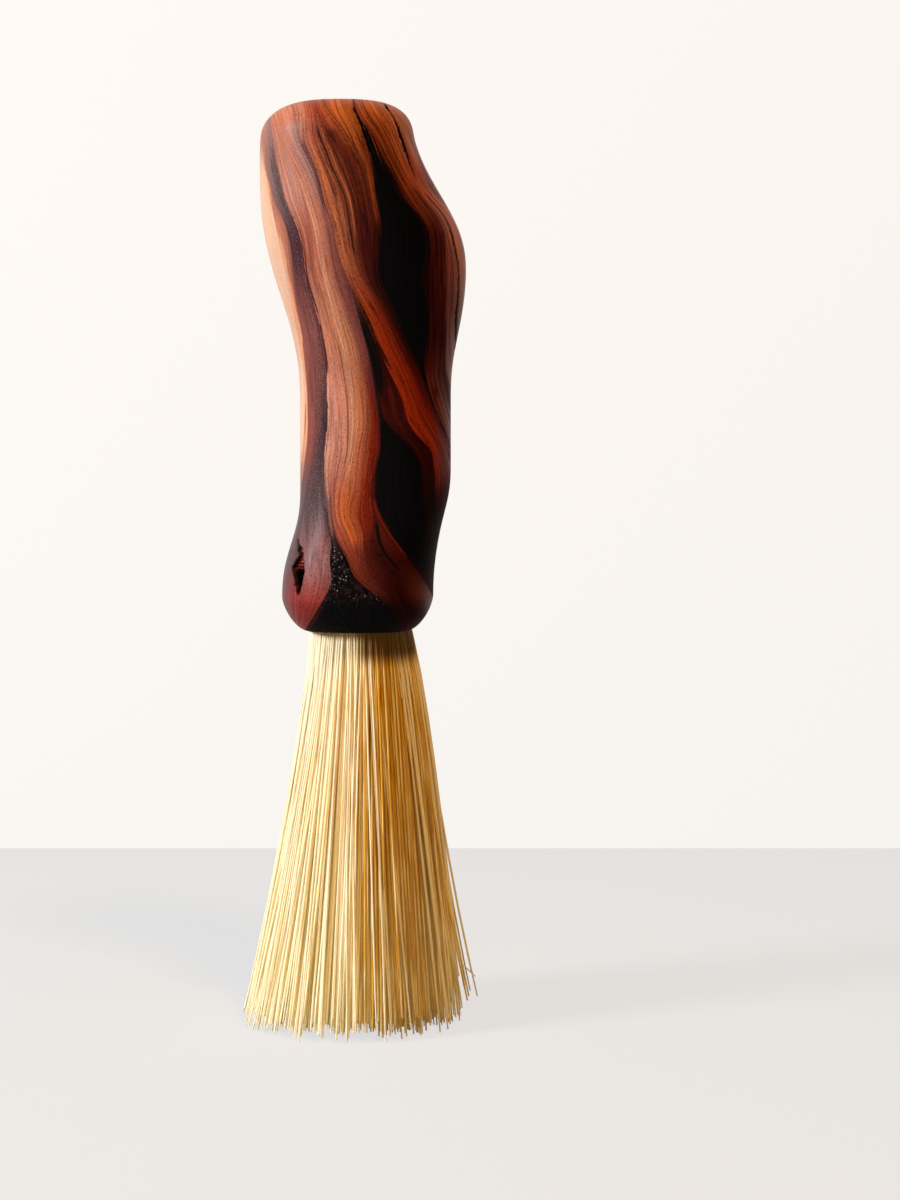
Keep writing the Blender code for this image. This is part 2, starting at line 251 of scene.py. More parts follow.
GRAIN_LINES = (
    GrainLine(
        "sapwood_back",
        (90, 150, 240, 330, 430, 500, 570, 640),
        (236, 238, 230, 250, 266, 262, 246, 250),
        (T.ROSE, T.SAP, T.SAP, T.SAP, T.BLOND, T.PLUM, T.SLATE, T.SLATE),
        busy=0.1,
    ),
    GrainLine(
        "peach_edge",
        (90, 149, 180, 225, 275, 300, 325, 350, 375, 400, 450, 475, 500, 530, 570, 640),
        (246, 258, 265, 273, 283, 287, 293, 298, 302, 304, 302, 300, 297, 284, 268, 270),
        (T.ROSE, T.PEACH, T.PEACH, T.PEACH, T.PEACH, T.SLATE, T.SLATE, T.SLATE),
        busy=0.2,
    ),
    GrainLine(
        "sapwood_edge",
        (90, 149, 165, 180, 200, 225, 250, 275, 300, 325, 350, 375, 400, 425, 450, 475, 500, 530, 570, 640),
        (250, 262, 264, 268.5, 272.5, 277, 283, 288.5, 294, 300, 303.5, 306, 308, 308, 306, 303, 299.5, 288,
         272, 274),
        (T.ROSE, T.ROSE, T.SALMON, T.CLAY, T.CLAY, T.SLATE, T.SLATE, T.SLATE),
        crisp=True, busy=0.35,
    ),
    GrainLine(
        "plum_edge",
        (90, 149, 180, 200, 225, 250, 275, 300, 325, 350, 375, 425, 450, 475, 500, 530, 550, 570, 600, 640),
        (262, 265, 268.7, 273, 284.5, 289, 292, 296.5, 301.5, 305.5, 308.5, 309, 308.5, 304, 300.5, 294,
         291, 288, 290, 296),
        (T.ROSE, T.ASH, T.DUSK, T.PLUM, T.PLUM, T.SLATE, T.SLATE, T.CINNABAR),
        busy=0.5,
    ),
    GrainLine(
        "speckle_edge",
        (90, 149, 180, 200, 225, 250, 275, 300, 325, 350, 375, 425, 450, 475, 500, 530, 570, 600, 640),
        (264, 270, 274, 278.5, 290, 295.5, 298, 304, 311, 316, 319, 319.5, 317.5, 314, 309, 306, 306, 302,
         300),
        (T.ASH, T.SLATE, T.DUSK, T.PLUM, T.STONE, T.SLATE, T.PINK, T.CINNABAR),
        busy=0.6,
    ),
    GrainLine(
        "wedge_left",
        (90, *HEAD_ROWS, *WAIST_ROWS, 590, 605, 618, 640),
        (265, 275, 276.5, 280, 284.5, 296, 302, 304.5, 311.5, 319.5, 323.5, 326.5, 327.5, 325, 324, 327,
         329, 331.5, 333, 331, 332, 329, 322.5, 314, 300),
        (T.ROSE, T.SLATE, T.DUSK, T.DUSK, T.STONE, T.SLATE, T.CHAR, T.CHAR),
        crisp=True, busy=0.4,
    ),
    GrainLine(
        "wedge_right",
        (90, *HEAD_ROWS, *WAIST_ROWS, 590, 605, 640),
        (266, 276, 277.5, 281, 285.5, 297, 303, 305.5, 312.5, 320.5, 324.5, 327.5, 328.5, 326, 325, 328.2,
         330.5, 333, 337, 348.5, 353, 372, 392, 405),
        (T.ROSE, T.ROSE, T.CLAY, T.SALMON, T.BLUSH, T.CLAY, T.RUST, T.GLOW),
        crisp=True, busy=0.55,
    ),
    GrainLine(
        "light_edge",
        (90, 124, *HEAD_ROWS, 400, *WAIST_ROWS, 590, 605, 640),
        (268, 276, 285, 292, 299, 304.5, 311.5, 316, 320.5, 328, 333, 339, 343.5, 347, 347.5, 347, 341, 336,
         336.5, 342, 349.5, 353, 357, 380, 396, 408),
        (T.SALMON, T.SALMON, T.SALMON, T.TAN, T.TAN, T.AMBER, T.RUST, T.GLOW),
        busy=0.6,
    ),
    GrainLine(
        "middle_line",
        (90, 124, *HEAD_ROWS, 400, *WAIST_ROWS, 590, 605, 640),
        (276, 285, 293, 301, 308.5, 316.5, 324, 328.5, 333, 341, 349, 357.5, 361, 365, 366, 361, 360, 357,
         352, 360.5, 361.5, 360, 362, 382, 397, 411),
        (T.ROSE, T.ASH, T.PLUM, T.PLUM, T.BRICK, T.BRICK, T.MAROON, T.GLOW),
        busy=0.8,
    ),
    GrainLine(
        "tan_edge",
        (90, 112, 135, *HEAD_ROWS, 400, *WAIST_ROWS, 590, 605, 640),
        (292, 303, 303.5, 308, 315.5, 320, 324, 332, 336, 344, 353, 360, 367, 371.5, 375.5, 378.5, 378,
         371.5, 369.5, 373, 370, 368.5, 376, 388, 394, 402, 414),
        (T.ROSE, T.TAWNY, T.PLUM, T.DUSK, T.MAROON, T.MAROON, T.GLOW, T.OXBLOOD),
        busy=0.8,
    ),
    GrainLine(
        "plum_red_edge",
        (90, 112, 135, *HEAD_ROWS, 400, *WAIST_ROWS, 590, 605, 640),
        (293, 303.5, 304, 308.5, 316, 320.3, 324.3, 332.3, 336.3, 344.2, 354, 360.7, 367.6, 372, 376, 379.2,
         378.8, 372.5, 371, 375.5, 377.5, 380, 390, 403, 411, 418, 426),
        (T.ROSE, T.TAWNY, T.PLUM, T.DUSK, T.MAROON, T.MAROON, T.OXBLOOD, T.BROWN),
        busy=0.8,
    ),
    GrainLine(
        "lower_knot_left",
        (90, 112, 135, *HEAD_ROWS, 400, *WAIST_ROWS, 583, 590, 606, 640),
        (294, 304, 304.5, 309, 316.5, 320.6, 324.6, 332.6, 336.6, 344.5, 355, 361.3, 368.2, 372.6, 376.6,
         380, 379.6, 374, 373.5, 378.5, 386, 397, 409, 418, 424.5, 430, 436, 442),
        (T.ROSE, T.TAWNY, T.PLUM, T.CHAR, T.CHAR, T.CHAR, T.CHAR, T.OXBLOOD),
        crisp=True, busy=0.2,
    ),
    GrainLine(
        "lower_knot_right",
        (90, 112, 135, *HEAD_ROWS, 400, 415, 425, 433, 447, 461, 475, 500, 515, 530, 545, 560, 575, 583,
         590, 606, 640),
        (295, 304.3, 304.8, 309.4, 316.8, 320.9, 324.9, 332.9, 336.9, 344.8, 355.6, 366, 375, 380, 379, 383,
         388.5, 400, 413, 421, 423.5, 424.5, 427, 429, 431, 430.5, 428, 428, 430.6, 436.6, 443),
        (T.ROSE, T.TAWNY, T.TAWNY, T.GLOW, T.OXBLOOD, T.UMBER, T.UMBER, T.OXBLOOD),
        crisp=True, busy=0.9,
    ),
    GrainLine(
        "ember_left",
        (90, 112, 135, *HEAD_ROWS, 400, 425, 434, 450, 475, 500, 545, 600, 640),
        (296, 304.6, 305.1, 309.8, 317.1, 321.2, 325.2, 333.2, 337.2, 345.1, 356.6, 369.5, 379.5, 392.5,
         404.5, 409, 417, 429, 431.5, 434, 437, 441, 448),
        (T.CLAY, T.TAWNY, T.TAWNY, T.EMBER, T.EMBER, T.GLOW, T.GLOW, T.BROWN),
        crisp=True, busy=1.0,
    ),
    GrainLine(
        "ember_right",
        (90, 112, 135, *HEAD_ROWS, 400, 425, 447, 475, 500, 545, 600, 640),
        (306, 314, 317, 324.5, 328.5, 336.5, 344.5, 348.5, 352.5, 361, 376, 389, 400, 412, 420.5, 435, 443,
         446, 444, 446, 449, 457),
        (T.RUST, T.BROWN, T.MAROON, T.OXBLOOD, T.GARNET, T.GLOW, T.UMBER, T.BROWN),
        busy=1.0,
    ),
    GrainLine(
        "honey_edge",
        (90, 112, 124, 135, *HEAD_ROWS, 400, 432, 468, 510, 560, 640),
        (318, 325, 336, 343.5, 352, 360, 364, 368.5, 373, 373, 374, 385, 397, 407.5, 418.5, 427, 440, 452,
         462, 470, 478),
        (T.HONEY, T.BROWN, T.GLOW, T.UMBER, T.WINE, T.WINE, T.WINE, T.OXBLOOD),
        busy=1.0,
    ),
    GrainLine(
        "upper_knot_left",
        (90, 110, 124, 135, *KNOT_ROWS, 375, 400, 432, 447, 500, 560, 640),
        (350, 354, 360, 363.5, 367.5, 371, 374, 376, 379, 381, 378, 377, 387, 399, 409.5, 420.3, 428.6,
         442.5, 449, 466, 480, 492),
        (T.CHAR, T.CHAR, T.CHAR, T.CHAR, T.CHAR, T.CHAR, T.UMBER, T.UMBER),
        crisp=True, busy=0.2,
    ),
    GrainLine(
        "upper_knot_right",
        (90, 110, 124, 135, *KNOT_ROWS, 362, 375, 400, 432, 447, 500, 560, 640),
        (352, 356.5, 364, 372, 378, 384, 390, 399, 412, 425, 427.5, 423, 425, 427.5, 423.5, 421.5, 423.5,
         431, 444.5, 451, 469, 484, 496),
        (T.RUST, T.UMBER, T.UMBER, T.GLOW, T.WINE, T.RUST, T.RUST, T.BROWN),
        crisp=True, busy=0.8,
    ),
    GrainLine(
        "shade_edge",
        (90, 110, 124, 135, *KNOT_ROWS, 375, 400, 432, 447, 500, 560, 640),
        (354, 360, 369, 377, 384, 392, 401, 414, 421, 430, 433, 431, 432, 432, 430, 428, 435, 446.5, 453,
         473, 488, 500),
        (T.HONEY, T.COPPER, T.MAROON, T.OXBLOOD, T.BROWN, T.RUST, T.RUST, T.BROWN),
        busy=1.1,
    ),
    GrainLine(
        "groove",
        (90, 105, 116, 137, 158, 174, 193, 210, 225, 249, 272, 296, 319, 345, 400, 450, 500, 560, 640),
        (376, 385, 394, 401.5, 408.5, 414, 424, 440, 449, 455.5, 459, 458.5, 456, 456, 462, 472, 492, 506,
         518),
        (T.ROSE, T.RUST, T.FAWN, T.TAWNY, T.TAWNY, T.CLAY, T.RUST, T.PLUM),
        busy=0.8,
    ),
)

BACK_TONES = (
    (T.CLAY, T.CLAY, T.ROSE, T.CLAY, T.SALMON, T.ROSE, T.PLUM, T.WINE),
    (T.HONEY, T.HONEY, T.ORANGE, T.RUST, T.ORANGE, T.TAN, T.ORANGE, T.CINNABAR),
    (T.WINE, T.WINE, T.OXBLOOD, T.CHAR, T.CHAR, T.WINE, T.OXBLOOD, T.UMBER),
    (T.RUST, T.RUST, T.EMBER, T.WINE, T.OXBLOOD, T.EMBER, T.RUST, T.WINE),
    (T.ORANGE, T.CLAY, T.TAN, T.ORANGE, T.RUST, T.HONEY, T.BROWN, T.UMBER),
    (T.ROSE, T.PLUM, T.PLUM, T.SALMON, T.TAN, T.ROSE, T.WINE, T.CHAR),
    (T.CLAY, T.CREAM, T.CREAM, T.TAN, T.CREAM, T.SALMON, T.RUST, T.OXBLOOD),
    (T.ROSE, T.ROSE, T.CLAY, T.CREAM, T.TAN, T.PLUM, T.SLATE, T.PLUM),
)


@dataclass(frozen=True)
class BarkVoid:
    """The torn hole in the bark: edges as (row, column) points, depth in metres."""

    left: Points = (
        (538.0, 298.5), (541, 296.5), (549, 296.0), (556, 297.0), (561.5, 294.2), (567, 291.0),
        (572, 290.5), (577, 292.5), (581, 293.3), (591.4, 295.0), (598.0, 298.0),
    )
    right: Points = (
        (538.0, 298.5), (541, 299.0), (545, 300.3), (549, 303.3), (558, 303.9), (562.7, 304.6),
        (572, 304.6), (578.7, 303.5), (585.6, 301.8), (594.8, 299.5), (598.0, 298.0),
    )
    depth: float = 0.0040
    rim: float = 2.6
    raggedness: float = 0.35
    edge_waves: tuple[tuple[float, float, float], ...] = ((0.7, 0.62, 0.8), (0.5, 0.37, -1.1))
    chip_waves: Points = ((1.35, 0.6), (-0.5, 0.9))
    ledge: float = 0.34
    drop: float = 0.56
    drop_rows: Span = (566, 575)
    chip: float = 0.13

    def depth_at(self, columns: np.ndarray, rows: np.ndarray) -> np.ndarray:
        """How deep the hole is at places of the photograph.

        Args:
            columns: The places' columns.
            rows: Their rows.

        Returns:
            Depths in metres, none outside the hole.
        """
        left = np.interp(rows, *np.array(self.left).T)
        right = np.interp(rows, *np.array(self.right).T)
        ragged = sum(size * np.sin(down * rows + over * columns) for size, down, over in self.edge_waves)
        chips = math.prod(np.sin(down * rows + over * columns) for down, over in self.chip_waves)
        inside = np.minimum(columns - left, right - columns) + self.raggedness * ragged
        inside = np.where((rows > self.left[0][0]) & (rows < self.left[-1][0]), inside, -1.0)
        floor = self.ledge + self.drop * smooth_step(*self.drop_rows, rows) + self.chip * chips
        return self.depth * smooth_step(0.0, self.rim, inside) * floor


@dataclass(frozen=True)
class Crack:
    """A narrow opening along the grain: (row, column) points, half width in pixels and depth."""

    points: Points
    half_width: float
    depth: float
    top_rows: float = 8
    foot_rows: float = 14
    evenness: float = 0.8
    unevenness: float = 0.35
    waves: Span = (0.7, 0.23)

    def depth_at(self, columns: np.ndarray, rows: np.ndarray) -> np.ndarray:
        """How deep the crack is at places of the photograph.

        Args:
            columns: The places' columns.
            rows: Their rows.

        Returns:
            Depths in metres, none beyond the crack's ends.
        """
        top, foot = self.points[0][0], self.points[-1][0]
        middle = flow(self.points, rows, loose_ends=True)
        ends = smooth_step(top, top + self.top_rows, rows)
        ends *= 1 - smooth_step(foot - self.foot_rows, foot, rows)
        uneven = self.unevenness * np.sin(rows * self.waves[0]) * np.sin(rows * self.waves[1] + 1)
        width = self.half_width * (self.evenness + uneven)
        return self.depth * ends * np.exp(-(((columns - middle) / width) ** 2))


CRACKS = (
    Crack(((103, 353), (110, 355), (120, 360), (135, 365), (149, 370), (162, 376)), 1.6, 0.0007),
    Crack(((102, 383), (105, 385), (116, 394), (137, 401), (158, 408.5), (178, 416)), 1.2, 0.0006),
    Crack(((225, 449), (249, 455.5), (272, 459), (296, 458.5), (319, 456), (372, 456)), 1.1, 0.0004),
    Crack(((352, 416), (373, 422), (395, 432), (420, 440), (440, 447)), 1.2, 0.0003),
    Crack(((505, 326), (530, 329), (548, 333), (575, 332)), 0.8, 0.0003),
)


@dataclass(frozen=True)
class Thread:
    """A thin line of colour beside a grain line, from a row down to another row."""

    line: float
    half_width: float
    top: float
    foot: float
    tone: Tone
    strength: float


THREADS = tuple(Thread(*values) for values in (
    (19, 1.1, 96, 182, T.CHAR, 0.95), (19, 1.2, 190, 350, T.CHAR, 0.8),
    (18.75, 0.9, 190, 215, T.TAWNY, 0.7), (7.3, 2.4, 175, 480, T.CREAM, 0.7),
    (7.5, 5, 492, 548, T.ORANGE, 0.8), (7.75, 0.9, 490, 560, T.RUST, 0.5),
    (7.02, 0.8, 340, 470, T.SLATE, 0.6), (6.1, 1.4, 372, 505, T.CREAM, 0.6),
    (6.45, 1, 330, 480, T.TAN, 0.5), (12.5, 2.4, 384, 436, T.MAROON, 0.7),
    (7.62, 0.8, 250, 470, T.CLAY, 0.45), (6.35, 0.9, 130, 290, T.TAN, 0.5),
    (6.7, 0.8, 280, 480, T.CLAY, 0.45), (8.45, 3, 118, 172, T.ASH, 0.85), (8.8, 2, 138, 215, T.DUSK, 0.75),
    (14.62, 7, 126, 262, T.OXBLOOD, 0.62), (13.2, 1.6, 128, 285, T.FAWN, 0.7),
    (13.55, 1.1, 150, 262, T.BROWN, 0.65), (13.85, 1.2, 165, 240, T.FAWN, 0.45),
    (14.06, 1.2, 126, 262, T.UMBER, 0.85), (14.22, 0.9, 124, 244, T.FAWN, 0.42),
    (14.36, 0.9, 130, 235, T.UMBER, 0.7), (14.48, 0.8, 118, 215, T.RUST, 0.6),
    (13.3, 2.4, 292, 350, T.COPPER, 0.6), (13.62, 1, 296, 405, T.OXBLOOD, 0.55),
    (13.9, 1, 300, 372, T.BRICK, 0.55), (14.5, 0.9, 296, 360, T.WINE, 0.6),
    (17.3, 0.8, 372, 470, T.UMBER, 0.5), (8.3, 0.8, 380, 470, T.COPPER, 0.45),
    (10, 1.9, 518, 575, T.CHAR, 0.95), (15.72, 2.8, 128, 228, T.COPPER, 0.7),
    (15.9, 3, 96, 132, T.BROWN, 0.7), (14.85, 2.6, 140, 240, T.MAROON, 0.5),
    (18.5, 4, 184, 245, T.MAROON, 0.5), (18.8, 5, 235, 430, T.RUST, 0.45),
    (7.9, 1.6, 372, 480, T.AMBER, 0.6), (11, 1.6, 496, 560, T.BRICK, 0.5),
))


@dataclass
class Figure:
    """The burl's figure: grain lines down the photographed side, and more of them behind."""

    lines: tuple[GrainLine, ...] = GRAIN_LINES
    back_tones: tuple[tuple[Tone, ...], ...] = BACK_TONES
    evening: float = 7.0
    back_sway: float = 0.35
    sway_turn: float = 3.1
    sway_rows: float = 61.0
    sway_lag: float = 1.7
    back_knot_row: float = 385.0
    back_knot_reach: float = 46.0
    back_knot_line: int = 2
    back_knot_swell: float = 1.3
    least_width: float = 0.8
    usual_girth: float = 380.0

    @property
    def front_count(self) -> int:
        """Number of lines drawn for the photographed side."""
        return len(self.lines)

    @property
    def count(self) -> int:
        """Number of bands all the way round."""
        return self.front_count + len(self.back_tones)

    def tones(self, band: int) -> tuple[Tone, ...]:
        """Tones of a band at the stations."""
        band %= self.count
        return self.lines[band].tones if band < self.front_count else self.back_tones[band - self.front_count]

    def crisp(self, line: int) -> bool:
        """Whether a line is crisp."""
        line %= self.count
        return line < self.front_count and self.lines[line].crisp

    def columns(self, rows: np.ndarray, girth: np.ndarray) -> np.ndarray:
        """Columns of all the lines at some rows, as if the handle's surface were unrolled.

        Args:
            rows: Rows of the photograph.
            girth: The handle's way round at those rows, in pixels.

        Returns:
            An array with a row of columns for each line, and the first line again at the end,
            one way round further on.
        """
        near = [rows + step for step in (-self.evening, 0, self.evening)]
        drawn = [sum(flow(line.points, here, loose_ends=True) for here in near) / 3 for line in self.lines]
        end = drawn[0] + girth
        gaps = len(self.back_tones) + 1
        room = end - drawn[-1]
        bulge = np.exp(-(((rows - self.back_knot_row) / self.back_knot_reach) ** 2))
        made = []
        for step in range(1, gaps):
            share = step / gaps
            wave = np.sin(rows / self.sway_rows + self.sway_lag * step)
            sway = self.back_sway * math.sin(self.sway_turn * step) * wave / gaps
            side = 1 if step > self.back_knot_line else -1
            by_knot = 1 / (1 + abs(step - self.back_knot_line - 0.5))
            push = side * self.back_knot_swell * bulge * by_knot / gaps * math.sin(math.pi * share)
            made.append(drawn[-1] + room * (share + sway + push))
        return np.array([*drawn, *made, end])

    def grain(
        self, columns: np.ndarray, rows: np.ndarray, girth: np.ndarray
    ) -> tuple[np.ndarray, np.ndarray]:
        """Where places lie among the lines.

        Args:
            columns: Unrolled columns of the places.
            rows: Their rows.
            girth: The way round the handle at their rows, in pixels.

        Returns:
            Number of the line before each place, with the fraction of the way to the next
            line, and how much that number grows in a pixel.
        """
        lines = np.maximum.accumulate(self.columns(rows, girth), axis=0)
        value, slope = np.zeros(len(rows)), np.zeros(len(rows))
        for line, following in zip(lines, lines[1:]):
            width = np.maximum(following - line, self.least_width)
            share = (columns - line) / width
            value += np.clip(share, 0, 1)
            slope = np.where((share >= 0) & (share <= 1), 1 / width, slope)
        before = columns < lines[0]
        if before.any():
            turned, turned_slope = self.grain(columns[before] + girth[before], rows[before], girth[before])
            value[before] = turned - self.count
            slope[before] = turned_slope
        return value, slope

    def widths(self) -> np.ndarray:
        """Usual widths of the bands in pixels.

        Returns:
            Their sums, from nothing at the first line on.
        """
        rows = np.array(STATION_ROWS[:-2])
        lines = self.columns(rows, np.full(len(rows), self.usual_girth))
        return np.concatenate([[0.0], np.cumsum(np.diff(lines, axis=0).mean(axis=1))])


@dataclass
class Row:
    """A ring of the handle's surface: an oval of the carving, a circle of the socket, or between."""

    z: float
    height: float
    circle: float = 0.0
    radius: float = 0.0
    shrink: float = 1.0


@dataclass
class Handle:
    """The carved burl handle with its socket and its bark void."""

    length: float = 0.1275
    foot_width: float = 0.0368
    foot_depth: float = 0.0380
    ankle_width: float = 0.0351
    ankle_depth: float = 0.0338
    waist_width: float = 0.0366
    waist_depth: float = 0.0326
    head_width: float = 0.0478
    head_depth: float = 0.0404
    shoulder_width: float = 0.0379
    crown_width: float = 0.0350
    crown_depth: float = 0.0330
    foot_swing: float = -0.0005
    waist_swing: float = 0.0039
    head_swing: float = 0.0022
    shoulder_swing: float = -0.0053
    crown_swing: float = -0.0040
    foot_round_height: float = 0.0080
    foot_round_reach: float = 0.0054
    foot_round_power: float = 1.5
    crown_round_height: float = 0.0086
    crown_round_power: float = 2.5
    crown_flat_radius: float = 0.0020
    foot_squareness: float = 2.9
    head_squareness: float = 2.2
    evening: float = 0.025
    socket_diameter: float = 0.0254
    socket_depth: float = 0.0240
    socket_chamfer: float = 0.00025
    side_stretch: float = 0.85
    front_columns: int = 196
    back_columns: int = 84
    body_rows: int = 214
    round_rows: int = 22
    wall_rows: int = 7
    inner_shares: tuple[float, ...] = (0.0, 0.25, 0.5, 0.75)
    crown_end: Span = (0.9975, 0.9995)
    foot_end: Span = (0.0, 0.0006)
    fine_cuts: int = 2
    fine_depth: float = 0.00002
    sharp_angle: float = math.radians(50)
    pixel: float = 0.00024
    void: BarkVoid = BarkVoid()
    figure: Figure = field(default_factory=Figure)

    def __post_init__(self) -> None:
        """Read the foot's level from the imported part."""
        self.foot_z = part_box("handle")[0].z

    def oval(self, heights: np.ndarray, angles: np.ndarray) -> np.ndarray:
        """Points of the carved outside.

        Args:
            heights: Heights above the foot.
            angles: Angles round the spine, in radians.

        Returns:
            An array of points, three numbers each.
        """
        foot, ankle, waist = self.foot_width, self.ankle_width, self.waist_width
        widths = ((0, foot), (0.09, foot), (0.21, ankle), (0.28, waist), (0.46, waist),
                  (0.73, self.head_width), (0.91, self.shoulder_width), (1, self.crown_width))
        depths = ((0, self.foot_depth), (0.11, self.foot_depth), (0.23, self.ankle_depth),
                  (0.44, self.waist_depth), (0.72, self.head_depth), (0.91, self.crown_depth),
                  (1, self.crown_depth))
        spine = ((0, self.foot_swing), (0.08, self.foot_swing), (0.28, self.waist_swing),
                 (0.56, self.waist_swing), (0.70, self.head_swing), (0.95, self.shoulder_swing),
                 (1, self.crown_swing))
        squareness = ((0, self.foot_squareness), (0.15, self.foot_squareness),
                      (0.70, self.head_squareness), (1, self.head_squareness))

        def soft(points: Points) -> np.ndarray:
            """Values at the heights, evened out over a short way up and down."""
            steps = (-self.evening, 0, self.evening)
            return sum(flow(points, heights / self.length + step) for step in steps) / 3

        power = soft(squareness)
        drawn_in = self.end_rounding(heights)
        half_width = soft(widths) / 2 - drawn_in
        half_depth = soft(depths) / 2 - drawn_in
        across = np.abs(np.cos(angles) / half_width) ** power
        along = np.abs(np.sin(angles) / half_depth) ** power
        outline = polar((across + along) ** (-1 / power), angles)
        return np.column_stack([soft(spine) + outline[:, 0], outline[:, 1], self.foot_z + heights])

    def end_rounding(self, heights: np.ndarray) -> np.ndarray:
        """How far the rounded ends draw the outline in.

        Args:
            heights: Heights above the foot.

        Returns:
            Distances in metres.
        """

        def eased(share: np.ndarray, power: float) -> np.ndarray:
            """Share of a rounding's reach at a share of its height."""
            inside = np.clip(share, 0, 1)
            return 1 - (1 - inside**power) ** (1 / power)

        foot = self.foot_round_reach * eased(1 - heights / self.foot_round_height, self.foot_round_power)
        above = (heights - self.length) / self.crown_round_height + 1
        reach = min(self.crown_width, self.crown_depth) / 2 - self.crown_flat_radius
        return foot + reach * eased(above, self.crown_round_power)

    def rows(self) -> list[Row]:
        """Rings of the handle's surface.

        Returns:
            Rings from the middle of the crown, down the outside and up into the socket.
        """
        crown = [Row(self.foot_z + self.length, self.length, shrink=share) for share in self.inner_shares]
        turns = np.linspace(0, math.pi / 2, self.round_rows, endpoint=False)
        body_top = self.length - self.crown_round_height
        heights = [body_top + self.crown_round_height * math.cos(turn) for turn in turns]
        heights += list(np.linspace(body_top, self.foot_round_height, self.body_rows, endpoint=False))
        heights += [self.foot_round_height * (1 - math.sin(turn)) for turn in turns]
        outside = [Row(self.foot_z + height, height) for height in heights]
        bore = self.socket_diameter / 2
        mouth = bore + self.socket_chamfer
        ring = [Row(self.foot_z, 0.0, share, mouth) for share in (*self.inner_shares, 1.0)]
        rises = np.linspace(self.socket_chamfer, self.socket_depth, self.wall_rows)
        wall = [Row(self.foot_z + rise, 0.0, 1.0, bore) for rise in rises]
        end = [Row(wall[-1].z, 0.0, 1.0, bore, share) for share in (0.5, 0.0)]
        return crown + outside + ring + wall + end

    def angles(self) -> np.ndarray:
        """Angles of the columns of points.

        Returns:
            Angles in radians, all the way round from the middle of the back.
        """
        quarter = self.back_columns // 2
        return np.concatenate([
            np.linspace(math.pi / 2, math.pi, quarter, endpoint=False),
            np.linspace(math.pi, 2 * math.pi, self.front_columns, endpoint=False),
            np.linspace(2 * math.pi, 2.5 * math.pi, quarter + 1),
        ])

    def build(self) -> bpy.types.Object:
        """The handle as one closed surface that carries its figure.

        Returns:
            The handle's object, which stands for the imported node.
        """
        rows, angles = self.rows(), self.angles()
        shape = bmesh.new()
        bmesh.ops.create_grid(shape, x_segments=len(angles) - 1, y_segments=len(rows) - 1, size=0.5)
        self.refine(shape, rows, angles)
        mesh = bpy.data.meshes.new("handle_skin")
        shape.to_mesh(mesh)
        shape.free()
        self.wrap(mesh, rows, angles)
        shape = bmesh.new()
        shape.from_mesh(mesh)
        bmesh.ops.remove_doubles(shape, verts=shape.verts, dist=MERGE_DISTANCE)
        bmesh.ops.recalc_face_normals(shape, faces=shape.faces)
        shape.to_mesh(mesh)
        shape.free()
        mesh.shade_smooth()
        mesh.set_sharp_from_angle(angle=self.sharp_angle)
        return add_piece("handle_skin", mesh, ["handle"])

    def refine(self, shape: bmesh.types.BMesh, rows: list[Row], angles: np.ndarray) -> None:
        """Split the flat grid finely where the void and the cracks will be.

        Args:
            shape: The grid, changed in place.
            rows: The rings, from the grid's top row down.
            angles: The columns' angles.
        """
        flat = np.array([vert.co for vert in shape.verts])
        near = self.depth(self.survey(flat, rows, angles)) > self.fine_depth
        faces = [face for face in shape.faces if any(near[vert.index] for vert in face.verts)]
        edges = sorted({edge for face in faces for edge in face.edges}, key=lambda edge: edge.index)
        bmesh.ops.subdivide_edges(shape, edges=edges, cuts=self.fine_cuts, use_grid_fill=True)
        LOG.info("handle_skin: %d edges split for the void and the cracks", len(edges))

    def survey(self, flat: np.ndarray, rows: list[Row], angles: np.ndarray) -> dict[str, np.ndarray]:
        """What the handle is like at places of the flat grid.

        Args:
            flat: Places from -0.5 to 0.5 both ways.
            rows: The rings, from the grid's top row down.
            angles: The columns' angles.

        Returns:
            The rings' values, the angle, the point of the carved outside, its place in the
            photograph's unrolled frame and the way round, by name.
        """
        column = (flat[:, 0] + 0.5) * (len(angles) - 1)
        level = (0.5 - flat[:, 1]) * (len(rows) - 1)
        found = {
            name: np.interp(level, np.arange(len(rows)), [getattr(row, name) for row in rows])
            for name in ("z", "height", "circle", "radius", "shrink")
        }
        turn = found["turn"] = np.interp(column, np.arange(len(angles)), angles)
        found["outside"] = self.oval(found["height"], turn)
        seen, row = CAMERA.pixels(found["outside"])
        left, edge_row = CAMERA.pixels(self.oval(found["height"], np.full(len(turn), math.pi)))
        right, _ = CAMERA.pixels(self.oval(found["height"], np.zeros(len(turn))))
        behind = (right - left) * math.pi / 2
        before, after = turn < math.pi, turn > 2 * math.pi
        seen = np.where(before, left - behind * self.round_back(1 - turn / math.pi), seen)
        found["column"] = np.where(after, right + behind * self.round_back(turn / math.pi - 2), seen)
        found["row"] = np.where(before | after, edge_row, row)
        found["girth"] = behind + right - left
        found["hidden"] = before | after | (found["shrink"] < 1) | (found["circle"] > 0)
        return found

    def round_back(self, share: np.ndarray) -> np.ndarray:
        """Share of the back's columns at a share of its turn, slow at the sides as it is seen there."""
        return share - self.side_stretch * np.sin(2 * math.pi * share) / (2 * math.pi)

    def depth(self, place: dict[str, np.ndarray]) -> np.ndarray:
        """How deep the bark void and the cracks go.

        Args:
            place: What the handle is like at some places, from survey.

        Returns:
            Depths in metres.
        """
        depths = [hole.depth_at(place["column"], place["row"]) for hole in (self.void, *CRACKS)]
        return np.where(place["hidden"], 0.0, np.maximum.reduce(depths))

